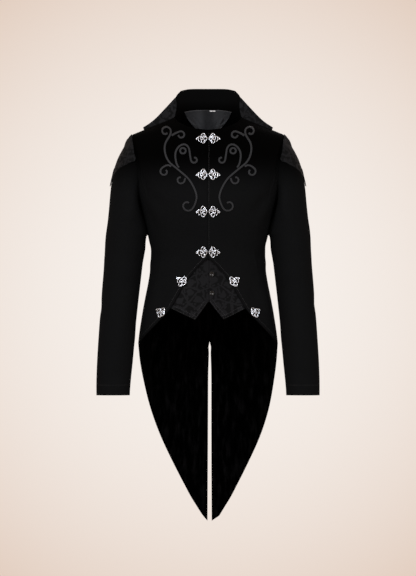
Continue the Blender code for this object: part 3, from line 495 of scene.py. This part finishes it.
# Sleeves: one long piece of the same twill a side, set into the armhole and bent a little forward.
# Drag folds fall from the sleeve head, and shallow folds cross the bend of the elbow.
ARM_TOP = Vector((0.172, 0.0, -0.060))
ARM_END = Vector((0.2325, -0.047, -0.677))
ARM_ROUND = 0.055
FOLDS_START, FOLDS_GROW = 0.10, 0.08
SLEEVE_FOLDS = (
    Fold("front", 1, 0.178, -0.200, 0.205, -0.270, 0.010, 0.0020),
    Fold("front", 1, 0.196, -0.170, 0.222, -0.240, 0.012, -0.0022),
    Fold("front", -1, 0.180, -0.206, 0.202, -0.262, 0.010, 0.0022),
    Fold("front", -1, 0.200, -0.176, 0.224, -0.250, 0.012, -0.0020),
    Fold("front", 1, 0.172, -0.352, 0.238, -0.330, 0.009, -0.0024),
    Fold("front", 1, 0.176, -0.386, 0.232, -0.372, 0.009, 0.0022),
    Fold("front", 1, 0.180, -0.420, 0.226, -0.412, 0.009, -0.0016),
    Fold("front", -1, 0.174, -0.344, 0.236, -0.326, 0.009, -0.0022),
    Fold("front", -1, 0.178, -0.378, 0.230, -0.366, 0.009, 0.0022),
    Fold("front", -1, 0.184, -0.410, 0.222, -0.406, 0.009, -0.0018),
    Fold("front", 1, 0.206, -0.480, 0.226, -0.590, 0.013, 0.0018),
    Fold("front", -1, 0.204, -0.470, 0.228, -0.600, 0.013, 0.0016),
    Fold("front", 1, 0.200, -0.610, 0.250, -0.636, 0.010, -0.0018),
    Fold("front", -1, 0.204, -0.618, 0.246, -0.640, 0.010, -0.0016),
    Fold("back", 1, 0.176, -0.180, 0.210, -0.290, 0.013, -0.0026),
    Fold("back", -1, 0.178, -0.186, 0.212, -0.282, 0.013, -0.0024),
    Fold("back", 1, 0.176, -0.340, 0.238, -0.372, 0.010, 0.0024),
    Fold("back", -1, 0.178, -0.350, 0.236, -0.380, 0.010, 0.0026),
    Fold("back", 1, 0.190, -0.392, 0.240, -0.400, 0.009, -0.0020),
    Fold("back", -1, 0.192, -0.400, 0.242, -0.410, 0.009, -0.0022),
    Fold("back", 1, 0.206, -0.470, 0.232, -0.600, 0.014, -0.0018),
    Fold("back", -1, 0.208, -0.480, 0.230, -0.610, 0.014, -0.0018),
    Fold("side", 1, 0.010, -0.230, -0.020, -0.330, 0.013, 0.0022),
    Fold("side", -1, 0.012, -0.240, -0.016, -0.340, 0.013, 0.0020),
    Fold("side", 1, 0.010, -0.430, -0.040, -0.470, 0.010, -0.0018),
    Fold("side", -1, 0.012, -0.440, -0.042, -0.476, 0.010, -0.0018),
)

sleeve_shape = closed_shape("sleeve_left", "sleeve_right")
sleeve_laid = laid_folds(sleeve_shape, SLEEVE_FOLDS)


def arm_middle(point):
    """The nearest point of the arm's middle line, on the point's own side."""
    side = 1.0 if point.x > 0 else -1.0
    top = Vector((side * ARM_TOP.x, ARM_TOP.y, ARM_TOP.z))
    line = Vector((side * ARM_END.x, ARM_END.y, ARM_END.z)) - top
    return top + line * ((point - top).dot(line) / line.length_squared)


# Each height, with how far the underarm cloth bulges toward the body there, so that it lies against
# the side seam down to the top of the gap beside the waist.
UNDERARM = (
    (-0.2000, 0.0), (-0.2200, 0.0030), (-0.2450, 0.0037), (-0.2570, 0.0046), (-0.2670, 0.0060),
    (-0.2770, 0.0076), (-0.2835, 0.0080), (-0.2870, 0.0030), (-0.3000, 0.0020), (-0.3180, 0.0030),
    (-0.3350, 0.0016), (-0.3520, 0.0), (-0.5000, 0.0), (-0.5350, 0.0017), (-0.6000, 0.0015), (-0.6600, 0.0),
)


def at_height(table, height):
    """A value from a table that runs downward, or nothing beyond its ends."""
    for (above, first), (below, last) in zip(table, table[1:]):
        if below <= height <= above:
            return first + (last - first) * (above - height) / (above - below)
    return 0.0


def sleeve_folded(point):
    """A point of a sleeve, moved out from the arm by the folds, which end short of the armhole."""
    outward = (point - arm_middle(point)).normalized()
    side = math.copysign(1.0, point.x)
    near = clamped((-point.z - FOLDS_START) / FOLDS_GROW)
    bulge = at_height(UNDERARM, point.z) * max(0.0, -outward.x * side) ** 2
    return point + outward * fold_rise(sleeve_laid, point) * near - Vector((side * bulge, 0.0, 0.0))


def sleeve_wrap(point):
    """The way round the arm as a turn, and the height."""
    spoke = point - arm_middle(point)
    return math.atan2(spoke.x, -spoke.y), point.z


def cloth_shape(pieces):
    """The joined faces of finished cloth pieces, to cast rays at."""
    shape = bmesh.new()
    for piece in pieces:
        shape.from_mesh(piece.data)
    found = BVHTree.FromBMesh(shape)
    shape.free()
    return found


sleeves = []
for side in ("left", "right"):
    sleeve = cloth_piece(
        "sleeve_" + side,
        "twill_sleeve_" + side,
        wool_twill,
        3,
        sleeve_folded,
        sleeve_wrap,
        ARM_ROUND,
    )
    sleeves.append(sleeve)
sleeve_cloth = cloth_shape(sleeves)


# Collar: a stiffened stand of the same twill round the back of the neck, sewn to the neckline.
# It flares back a little at its top edge.
COLLAR_ROUND = 0.075


def as_it_is(point):
    """A point that no fold moves."""
    return point


collar = cloth_piece(
    "collar_back", "twill_collar", wool_twill, 2, as_it_is, body_wrap, COLLAR_ROUND
)


# Collar wings, shoulder caps and waistcoat points: black brocade, a satin figure on a matt ground.
# The wings and caps are faced and turned out; the waistcoat points hang inside the cutaway.
FIGURE_REPEAT = 30.0
FIGURE_CURL, FIGURE_BEND = 22.0, 0.016
BROCADE_RIB = 1.6
CAST_FROM, LARGEST_SHIFT = 0.05, 0.008
# A cap's lower part lies closer to the sleeve, its inner face more so, and hangs lower between its points.
LOOSE_END, SNUG_END, FACE_APART = -0.090, -0.140, 0.0033
SNUG_INNER, SNUG_OUTER = 0.85, 0.35
CAP_DROP, DROP_FROM, DROP_OVER = 0.0115, math.radians(5), math.radians(85)
# Its inner point lies higher, by a lift that grows between two heights and fades round the arm.
CAP_LIFT, LIFT_ABOVE, LIFT_BELOW, LIFT_OVER, LIFT_CURVE = 0.0115, -0.085, -0.110, math.radians(25), 1.3

brocade, tree, shader = start_material(
    "jacquard_brocade", Roughness=0.6, Specular_IOR_Level=0.03, Sheen_Weight=0.002, Sheen_Roughness=0.4
)
cut = add_node(tree, "ShaderNodeUVMap", uv_map="cut").outputs["UV"]
bend = mottled(tree, cut, FIGURE_CURL, 1.0)
centred = add_node(
    tree, "ShaderNodeVectorMath", {0: bend.outputs["Color"], 1: (0.5, 0.5, 0.5)}, operation="SUBTRACT"
)
curled = add_node(
    tree,
    "ShaderNodeVectorMath",
    {0: centred.outputs["Vector"], 1: (FIGURE_BEND, FIGURE_BEND, 0.0), 2: cut},
    operation="MULTIPLY_ADD",
)


def figure_cells(millimetres, feature, start, end):
    """One layer of the woven figure: cells of a size, shown up to a distance."""
    cells = add_node(
        tree,
        "ShaderNodeTexVoronoi",
        {"Vector": curled.outputs["Vector"], "Scale": scale_of(millimetres)},
        feature=feature,
        voronoi_dimensions="2D",
    )
    return ramp(tree, cells.outputs["Distance"], start, end)


stem_line = figure_cells(FIGURE_REPEAT, "DISTANCE_TO_EDGE", 0.10, 0.05)
bud_disc = figure_cells(FIGURE_REPEAT, "F1", 0.30, 0.24)
petal_line = figure_cells(FIGURE_REPEAT / 3, "F1", 0.34, 0.24)
leafy = add_node(tree, "ShaderNodeMath", {0: stem_line, 1: bud_disc}, operation="MAXIMUM").outputs["Value"]
figure = add_node(tree, "ShaderNodeMath", {0: leafy, 1: petal_line}, operation="MAXIMUM").outputs["Value"]
rib = add_node(
    tree,
    "ShaderNodeTexWave",
    {"Vector": cut, "Scale": bands_of(BROCADE_RIB)},
    wave_type="BANDS",
    bands_direction="Y",
)
tree.links.new(blended(tree, figure, linear("#090A0B"), linear("#111214")), shader.inputs["Base Color"])
tree.links.new(ramp(tree, figure, 0.0, 1.0, 0.75, 0.52), shader.inputs["Roughness"])
ribs_up = raised(tree, rib.outputs["Fac"], 0.2, 0.0002)
tree.links.new(raised(tree, figure, 0.5, 0.0004, ribs_up), shader.inputs["Normal"])


def on_sleeve(point):
    """A point of a cap, moved as far as the sleeve under it and shaped at its lower end."""
    low = clamped((LOOSE_END - point.z) / (LOOSE_END - SNUG_END))
    spoke = point - arm_middle(point)
    angle = math.atan2(math.copysign(1.0, point.x) * spoke.x, -spoke.y)
    round_arm = (angle - DROP_FROM) / DROP_OVER
    lowered = CAP_DROP * low * math.sin(math.pi * round_arm) ** 2 if 0.0 < round_arm < 1.0 else 0.0
    if abs(angle) < LIFT_OVER:
        under = clamped((LIFT_ABOVE - point.z) / (LIFT_ABOVE - LIFT_BELOW))
        lowered -= CAP_LIFT * under * (1.0 - max(angle, 0.0) / LIFT_OVER) ** LIFT_CURVE
    point = point - Vector((0.0, 0.0, lowered))
    outward = (point - arm_middle(point)).normalized()
    before = sleeve_shape.ray_cast(point + outward * CAST_FROM, -outward)[0]
    after = sleeve_cloth.ray_cast(point + outward * CAST_FROM, -outward)[0]
    if before is None or after is None or (after - before).length > LARGEST_SHIFT:
        return point
    snug = low * (SNUG_INNER if (point - before).length < FACE_APART else SNUG_OUTER)
    return after + (point - before) * (1.0 - snug)


def flat_wrap(point):
    """The place across and the height, for a piece that faces the front."""
    return point.x, point.z


for side in ("left", "right"):
    wing = cloth_piece(
        "collar_wing_" + side, "brocade_wing_" + side, brocade, 3, as_it_is, flat_wrap, 1.0
    )
    cap = cloth_piece(
        "cap_" + side, "brocade_cap_" + side, brocade, 3, on_sleeve, sleeve_wrap, ARM_ROUND
    )
    point = cloth_piece(
        "waistcoat_" + side,
        "brocade_point_" + side,
        brocade,
        3,
        body_folded,
        flat_wrap,
        1.0,
    )


# Linings: a black velvet-faced lining in the tails, and grey satin inside the back of the neck.
# Each is cut to its own part of the back and felled on by hand.
PILE_STREAK = 26.0
SATIN_SLUB = 14.0
SHEEN_MIDDLE, SHEEN_IN, SHEEN_OUT = 0.001, 0.004, 0.022

lining_velvet, tree, shader = start_material(
    "lining_velvet", Roughness=0.95, Specular_IOR_Level=0.0, Sheen_Weight=0.003, Sheen_Roughness=0.6
)
cut = add_node(tree, "ShaderNodeUVMap", uv_map="cut").outputs["UV"]
drawn = add_node(tree, "ShaderNodeMapping", {"Vector": cut, "Scale": (2.2, 0.5, 1.0)})
streak = add_node(
    tree,
    "ShaderNodeTexNoise",
    {"Vector": drawn.outputs["Vector"], "Scale": scale_of(PILE_STREAK), "Detail": 5.0, "Roughness": 0.6},
)
crushed = ramp(tree, streak.outputs["Fac"], 0.45, 0.75, curve="SMOOTHSTEP")
tree.links.new(blended(tree, crushed, linear("#000000"), linear("#070708")), shader.inputs["Base Color"])
tree.links.new(raised(tree, streak.outputs["Fac"], 0.4, 0.001), shader.inputs["Normal"])

neck_satin, tree, shader = start_material("grey_satin", Roughness=0.42, Specular_IOR_Level=0.22)
cut = add_node(tree, "ShaderNodeUVMap", uv_map="cut").outputs["UV"]
slub = mottled(tree, cut, SATIN_SLUB, 3.0)
tone = blended(tree, slub.outputs["Fac"], linear("#17181A"), linear("#27292C"))
# Painted sheen: the base colour is lighter in two broad upright bands, with a duller one between them.
spot = add_node(tree, "ShaderNodeTexCoord").outputs["Object"]
across = add_node(tree, "ShaderNodeSeparateXYZ", {"Vector": spot}).outputs["X"]
off_middle = add_node(tree, "ShaderNodeMath", {0: across, 1: SHEEN_MIDDLE}, operation="SUBTRACT")
far = add_node(tree, "ShaderNodeMath", {0: off_middle.outputs["Value"]}, operation="ABSOLUTE")
painted_sheen_band = ramp(tree, far.outputs["Value"], SHEEN_IN, SHEEN_OUT, curve="SMOOTHERSTEP")
tree.links.new(blended(tree, painted_sheen_band, tone, linear("#2F3134")), shader.inputs["Base Color"])
tree.links.new(raised(tree, slub.outputs["Fac"], 0.35, 0.0006), shader.inputs["Normal"])

for side in ("left", "right"):
    lining = cloth_piece(
        "tail_lining_" + side,
        "velvet_tail_lining_" + side,
        lining_velvet,
        2,
        body_folded,
        body_wrap,
        BODY_ROUND,
    )


# Each pleat of the neck lining: its place across, its width and its depth, in metres.
PLEATS = ((-0.040, 0.006, 0.0032), (-0.020, 0.005, 0.0022), (0.009, 0.007, 0.0028), (0.031, 0.005, 0.0034))
LINING_TOP, LINING_FALL = 0.022, 0.030
LINING_LOW, LINING_NARROWED = -0.024, 0.44


def inside_back(across, up):
    """How far back the inner face of the backs lies at a place."""
    found = body_shape.ray_cast(Vector((across, 0.0, up)), Vector((0.0, 1.0, 0.0)))[0]
    return None if found is None else found.y


def lining_pleated(point):
    """A point of the neck lining, which narrows downward and has soft upright folds below its top seam."""
    depth_down = clamped((LINING_TOP - point.z) / (LINING_TOP - LINING_LOW))
    narrowed = point.x * (1.0 - LINING_NARROWED * depth_down**2)
    before, after = inside_back(point.x, point.z), inside_back(narrowed, point.z)
    if before is not None and after is not None:
        point = Vector((narrowed, point.y + after - before, point.z))
    drop = clamped((LINING_TOP - point.z) / LINING_FALL)
    rise = sum(depth * math.exp(-0.5 * ((point.x - at) / width) ** 2) for at, width, depth in PLEATS)
    return point + Vector((0.0, -rise * drop, 0.0))


neck = cloth_piece(
    "neck_lining", "satin_neck_lining", neck_satin, 4, lining_pleated, body_wrap, BODY_ROUND
)


# Neck label: a short end of white woven tape, left blank, sewn on the neck lining.
# Its two ends are turned under, and so is its lower part.
TAPE_THREAD = 0.8
LABEL_SHARE, LABEL_CLEAR, LABEL_ASIDE = 0.62, 0.0009, 0.0020

label_tape, tree, shader = start_material("woven_tape", Roughness=0.7, Specular_IOR_Level=0.3)
spot = add_node(tree, "ShaderNodeTexCoord").outputs["Object"]
thread = add_node(
    tree,
    "ShaderNodeTexWave",
    {"Vector": spot, "Scale": bands_of(TAPE_THREAD)},
    wave_type="BANDS",
    bands_direction="Z",
)
tone = blended(tree, thread.outputs["Fac"], linear("#E6E8EC"), linear("#FAFBFF"))
tree.links.new(tone, shader.inputs["Base Color"])
label_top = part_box("neck_label")[1].z


def label_shown(point):
    """A point of the label, whose lower part is turned under."""
    spot = lining_pleated(point)
    height = label_top - (label_top - point.z) * LABEL_SHARE
    return Vector((spot.x + LABEL_ASIDE, spot.y - LABEL_CLEAR, height))


cloth_piece("neck_label", "tape_label", label_tape, 2, label_shown, body_wrap, BODY_ROUND)


# Scrolls: flat rayon braid, laid along each breast and couched down by hand.
# Each scroll is five lengths of braid and a ring.
BRAID_PLAIT = 2.6
LARGEST_SETTLE = 0.004

rayon_braid, tree, shader = start_material(
    "rayon_braid", Roughness=0.6, Specular_IOR_Level=0.08, Sheen_Weight=0.006, Sheen_Roughness=0.4
)
spot = add_node(tree, "ShaderNodeTexCoord").outputs["Object"]
plait = add_node(
    tree,
    "ShaderNodeTexWave",
    {"Vector": spot, "Scale": bands_of(BRAID_PLAIT), "Distortion": 1.5, "Detail": 1.0},
    wave_type="BANDS",
    bands_direction="DIAGONAL",
)
tone = blended(tree, plait.outputs["Fac"], linear("#1B1C1E"), linear("#27292C"))
tree.links.new(tone, shader.inputs["Base Color"])
tree.links.new(raised(tree, plait.outputs["Fac"], 0.5, 0.0004), shader.inputs["Normal"])

front_solid = closed_shape("front_left", "front_right")
front_cloth = cloth_shape(fronts)


def settled(point):
    """A point of something that lies on the fronts, moved as far as the cloth under it has moved."""
    before = cast(front_solid, "front", 1, point.x, point.z)
    after = cast(front_cloth, "front", 1, point.x, point.z)
    if before is None or after is None or abs(after.y - before.y) > LARGEST_SETTLE:
        return point
    return point + Vector((0.0, after.y - before.y, 0.0))


for part in ("stem", "top", "inner", "outer", "low", "eye"):
    for side in ("left", "right"):
        cloth_piece(
            "scroll_" + part + "_" + side,
            "braid_" + part + "_" + side,
            rayon_braid,
            2,
            settled,
            flat_wrap,
            1.0,
        )


# Clasps: white-metal castings in the form of a knotted wire, with a point that lies away from the
# centre. Each is sewn down through its loops. The two of a pair hook together.
WIRE, CLASP_CLEAR = 0.00098, 0.0003
KNOT_WIDE, KNOT_TALL, KNOT_LOW = 0.97, 0.94, 0.9
Strand = namedtuple("Strand", "closed points")
# Each strand runs through places across and up from the clasp's middle, with their lift off the cloth,
# in millimetres. The whole knot is then made a little narrower and lower.
KNOT = (
    Strand(True, ((-7.0, 9.2, 1.4), (-5.2, 12.6, 1.4), (-2.0, 14.6, 1.3), (1.4, 12.8, 1.3), (3.6, 8.8, 1.4),
                  (3.6, 4.8, 1.8), (0.8, 2.6, 2.2), (-3.0, 3.2, 2.2), (-6.6, 5.2, 1.8))),
    Strand(False, ((-5.4, 11.4, 1.7), (-3.8, 8.8, 2.2), (-2.0, 6.0, 2.4), (-0.4, 3.0, 2.4))),
    Strand(True, ((-7.4, -7.0, 1.4), (-5.6, -11.4, 1.4), (-2.2, -14.4, 1.3), (1.4, -12.0, 1.3),
                  (3.6, -7.8, 1.4), (2.8, -4.2, 1.8), (-0.6, -3.2, 2.0), (-4.4, -4.2, 1.8))),
    Strand(False, ((-6.8, -5.2, 1.7), (-4.8, -6.8, 2.2), (-3.8, -8.4, 2.2), (-4.4, -11.0, 1.8))),
    Strand(False, ((-7.0, 8.0, 1.4), (-9.2, 4.6, 1.5), (-11.8, 1.4, 1.3), (-10.4, -2.6, 1.5),
                   (-8.0, -7.2, 1.4))),
    Strand(False, ((-11.4, 2.0, 1.5), (-7.6, 2.6, 2.2), (-3.6, 0.4, 2.8), (0.6, -2.8, 2.5),
                   (3.2, -6.0, 1.8))),
    Strand(True, ((-1.2, 0.2, 2.2), (0.6, 3.6, 2.2), (3.8, 3.8, 1.8), (5.4, 0.0, 1.6), (3.8, -3.8, 1.8),
                  (0.6, -3.4, 2.2))),
    Strand(False, ((4.4, 4.2, 1.4), (7.4, 6.6, 1.5), (11.6, 3.0, 1.5), (16.4, -1.2, 1.4), (14.6, -3.8, 1.5),
                   (11.6, -1.2, 1.8))),
    Strand(False, ((9.0, 4.6, 1.6), (10.4, 0.4, 1.8), (10.4, -3.6, 1.8), (9.4, -7.0, 1.5), (6.4, -9.2, 1.2))),
)
Clasp = namedtuple("Clasp", "name x z degrees")
CLASPS = (
    Clasp("neck", 0.0135, -0.0480, 0),
    Clasp("chest", 0.0135, -0.1362, 0),
    Clasp("ribs", 0.0135, -0.2265, 0),
    Clasp("waist", 0.0135, -0.3255, 0),
    Clasp("upper_edge", 0.0630, -0.3969, 38),
    Clasp("lower_edge", 0.1140, -0.4728, 38),
)

# White metal, cast and tumbled: bright on its rounded strands, dull in the hollows between them.
cast_metal, tree, shader = start_material("cast_white_metal", Metallic=1.0, Roughness=0.28)
spot = add_node(tree, "ShaderNodeTexCoord").outputs["Object"]
grain = mottled(tree, spot, 3.0, 3.0)
tone = blended(tree, grain.outputs["Fac"], linear("#BBC3CD"), linear("#DCE3EC"))
tree.links.new(tone, shader.inputs["Base Color"])
tree.links.new(raised(tree, grain.outputs["Fac"], 0.15, 0.0003), shader.inputs["Normal"])


def knot_mesh(name):
    """The clasp's strands as one mesh in metres, lying in the X and Z plane and facing -Y."""
    wires = bpy.data.curves.new(name, "CURVE")
    wires.dimensions = "3D"
    wires.bevel_depth = WIRE
    wires.bevel_resolution = 2
    wires.use_fill_caps = True
    for strand in KNOT:
        spline = wires.splines.new("NURBS")
        spline.points.add(len(strand.points) - 1)
        for target, (across, up, lift) in zip(spline.points, strand.points):
            height = (up * KNOT_TALL - KNOT_LOW) / 1000
            target.co = (across * KNOT_WIDE / 1000, -lift / 1000, height, 1.0)
        spline.order_u = 3
        spline.resolution_u = 4
        spline.use_cyclic_u = strand.closed
        spline.use_endpoint_u = not strand.closed
    holder = bpy.data.objects.new(name, wires)
    scene.collection.objects.link(holder)
    found = finished_mesh(holder)
    bpy.data.objects.remove(holder)
    return found


for clasp in CLASPS:
    for side, word in ((1, "left"), (-1, "right")):
        start = Vector((side * clasp.x, -1.0, clasp.z))
        spot, facing = front_cloth.ray_cast(start, Vector((0.0, 1.0, 0.0)))[:2]
        across = Vector((1.0, 0.0, 0.0)) - facing * facing.x
        across = across.normalized() * side
        out = facing.normalized()
        up = out.cross(across).normalized()
        if up.z < 0:
            up = -up
        turn = Matrix.Rotation(math.radians(clasp.degrees) * side, 4, out)
        data = knot_mesh("knot_clasp_" + clasp.name + "_" + word)
        shape = bmesh.new()
        shape.from_mesh(data)
        for vertex in shape.verts:
            place = across * vertex.co.x + up * vertex.co.z + out * (-vertex.co.y)
            vertex.co = spot + turn @ place + out * CLASP_CLEAR
        bmesh.ops.recalc_face_normals(shape, faces=shape.faces)
        shape.to_mesh(data)
        shape.free()
        data.shade_smooth()
        data.materials.clear()
        data.materials.append(cast_metal)
        piece = bpy.data.objects.new("knot_clasp_" + clasp.name + "_" + word, data)
        scene.collection.objects.link(piece)
        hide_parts("clasp_" + clasp.name + "_" + word)
        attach(piece, "root")


# Buttons: two domed shank buttons of moulded plastic on the waistcoat, polished like jet.
# Each has a rolled rim round a sunk middle, and a shank that the thread passes through.
Button = namedtuple("Button", "name x z")
BUTTONS = (Button("button_upper", 0.0094, -0.3800), Button("button_lower", 0.0094, -0.4265))
BUTTON_PROFILE = (
    (0.0, 0.0017),
    (0.0018, 0.0019),
    (0.0032, 0.0024),
    (0.0044, 0.0031),
    (0.0053, 0.0037),
    (0.0059, 0.0034),
    (0.0061, 0.0024),
    (0.0056, 0.0015),
    (0.0032, 0.0009),
    (0.0020, 0.0002),
    (0.0, 0.0),
)

jet_plastic, tree, shader = start_material("moulded_plastic", Roughness=0.25, Specular_IOR_Level=0.3)
spot = add_node(tree, "ShaderNodeTexCoord").outputs["Object"]
haze = mottled(tree, spot, 4.0, 3.0)
tone = blended(tree, haze.outputs["Fac"], linear("#050506"), linear("#0A0A0B"))
tree.links.new(tone, shader.inputs["Base Color"])

for button in BUTTONS:
    back_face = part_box(button.name)[1].y
    shape = bmesh.new()
    profile = [shape.verts.new((radius, -rise, 0.0)) for radius, rise in BUTTON_PROFILE]
    edges = [shape.edges.new(pair) for pair in zip(profile, profile[1:])]
    bmesh.ops.spin(
        shape,
        geom=profile + edges,
        cent=(0.0, 0.0, 0.0),
        axis=(0.0, 1.0, 0.0),
        angle=math.tau,
        steps=32,
        use_merge=True,
    )
    bmesh.ops.remove_doubles(shape, verts=shape.verts, dist=1e-6)
    bmesh.ops.recalc_face_normals(shape, faces=shape.faces)
    bmesh.ops.translate(shape, verts=shape.verts, vec=(button.x, back_face, button.z))
    data = bpy.data.meshes.new("domed_" + button.name)
    shape.to_mesh(data)
    shape.free()
    data.shade_smooth()
    data.materials.append(jet_plastic)
    piece = bpy.data.objects.new("domed_" + button.name, data)
    scene.collection.objects.link(piece)
    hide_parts(button.name)
    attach(piece, "root")


# Topstitching: rows of black polyester thread along the closure, the cutaway and the waistcoat points,
# and round the cuffs. The thread is a little glossier than the cloth, and its tone is lighter than black:
# partly its own grey and partly a painted highlight for the light caught along the pressed edges, so each row
# shows as a fine line.
STITCH_STEP = 0.0042
STITCH_LONG, STITCH_WIDE, STITCH_HIGH = 0.0031, 0.0008, 0.0007

polyester_thread, tree, shader = start_material("polyester_thread", Roughness=0.45, Specular_IOR_Level=0.35)
spot = add_node(tree, "ShaderNodeTexCoord").outputs["Object"]
ply = mottled(tree, spot, 2.0, 1.0)
# Grey thread tone: partly its own colour, partly a painted highlight for light caught along the pressed
# edges.
tone = blended(tree, ply.outputs["Fac"], linear("#17181A"), linear("#2A2C2F"))
tree.links.new(tone, shader.inputs["Base Color"])

Row = namedtuple("Row", "name cloth sides inset points")
# Each row lies inside an edge, which is given across and up, on both sides or on one. Its inset is in metres.
CLOSURE = ((0.0005, -0.034), (0.0005, -0.150), (0.0005, -0.336))
CUTAWAY = ((0.0005, -0.343), (0.011, -0.349), (0.045, -0.386), (0.066, -0.418), (0.092, -0.464),
           (0.120, -0.494), (0.145, -0.520), (0.160, -0.537))
LEFT_EDGE = ((0.0031, -0.4462), (0.0200, -0.4690), (0.0382, -0.4908))
LEFT_HEM = ((0.0382, -0.4908), (0.0560, -0.4830), (0.0760, -0.4725), (0.0900, -0.4645))
RIGHT_EDGE = ((0.0010, -0.4500), (0.0140, -0.4680), (0.0318, -0.4920))
RIGHT_HEM = ((0.0318, -0.4920), (0.0500, -0.4838), (0.0720, -0.4733), (0.0900, -0.4647))
BOTH, LEFT, RIGHT = ((1, "left"), (-1, "right")), ((1, "left"),), ((-1, "right"),)
ROWS = (
    Row("closure_stitches", "twill_front_", LEFT, 0.0018, CLOSURE),
    Row("cutaway_stitches", "twill_front_", BOTH, 0.0060, CUTAWAY),
    Row("point_edge_stitches", "brocade_point_", LEFT, 0.0022, LEFT_EDGE),
    Row("point_edge_inner_stitches", "brocade_point_", LEFT, 0.0090, LEFT_EDGE),
    Row("point_hem_stitches", "brocade_point_", LEFT, 0.0022, LEFT_HEM),
    Row("point_hem_inner_stitches", "brocade_point_", LEFT, 0.0090, LEFT_HEM),
    Row("point_edge_stitches", "brocade_point_", RIGHT, 0.0022, RIGHT_EDGE),
    Row("point_edge_inner_stitches", "brocade_point_", RIGHT, 0.0090, RIGHT_EDGE),
    Row("point_hem_stitches", "brocade_point_", RIGHT, 0.0022, RIGHT_HEM),
    Row("point_hem_inner_stitches", "brocade_point_", RIGHT, 0.0090, RIGHT_HEM),
)


def inset_line(points, inset):
    """An edge's points moved to its left, as it runs, by the inset."""
    places = [Vector(point) for point in points]
    moved = []
    for k, place in enumerate(places):
        run = (places[min(k + 1, len(places) - 1)] - places[max(k - 1, 0)]).normalized()
        moved.append(place + Vector((-run.y, run.x)) * inset)
    return moved


def spaced_out(points, step):
    """Places a step apart along a line of points."""
    found, left = [], 0.0
    for start, end in zip(points, points[1:]):
        length = (end - start).length
        at = left
        while at < length:
            found.append(start.lerp(end, at / length))
            at += step
        left = at - length
    return found


def cloth_ground(name):
    """A finished cloth piece's faces, to lay stitches on."""
    cloth = bpy.data.objects[name].data
    return BVHTree.FromPolygons([v.co for v in cloth.vertices], [f.vertices[:] for f in cloth.polygons])


def add_stitches(name, ground, spots, thick=1.0):
    """A row of stitches as one piece: small flattened beads of thread, each between two places."""
    wide, high = thick * STITCH_WIDE, thick * STITCH_HIGH
    shape = bmesh.new()
    for before, after in zip(spots, spots[1:]):
        if before is None or after is None or (after - before).length > 2 * STITCH_STEP:
            continue
        middle, out = ground.find_nearest((before + after) / 2)[:2]
        run = (after - before).normalized()
        out = (out - run * out.dot(run)).normalized()
        side = out.cross(run)
        turn = Matrix((run * STITCH_LONG / 2, side * wide / 2, out * high / 2)).transposed().to_4x4()
        bmesh.ops.create_uvsphere(
            shape, u_segments=6, v_segments=4, radius=1.0, matrix=Matrix.Translation(middle) @ turn
        )
    bmesh.ops.recalc_face_normals(shape, faces=shape.faces)
    data = bpy.data.meshes.new(name)
    shape.to_mesh(data)
    shape.free()
    data.shade_smooth()
    data.materials.append(polyester_thread)
    piece = bpy.data.objects.new(name, data)
    scene.collection.objects.link(piece)
    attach(piece, "root")


for row in ROWS:
    line = spaced_out(inset_line(row.points, row.inset), STITCH_STEP)
    for side, word in row.sides:
        ground = cloth_ground(row.cloth + word)
        spots = [cast(ground, "front", side, place.x, place.y) for place in line]
        add_stitches(row.name + "_" + word, ground, spots)

# The cuff's row runs round the sleeve, 25 mm above its end, in a finer thread.
CUFF_ROW, CUFF_STITCHES, CUFF_THICK, CUFF_CAST = -0.6515, 72, 0.5, 0.15
for side, word in BOTH:
    ground = cloth_ground("twill_sleeve_" + word)
    cuff_middle = Vector((side * ARM_END.x, ARM_END.y, CUFF_ROW))
    spots = []
    for k in range(CUFF_STITCHES):
        turn = math.tau * k / CUFF_STITCHES
        way = Vector((math.cos(turn), math.sin(turn), 0.0))
        spots.append(ground.ray_cast(cuff_middle + way * CUFF_CAST, -way)[0])
    add_stitches("cuff_stitches_" + word, ground, spots + spots[:1], CUFF_THICK)
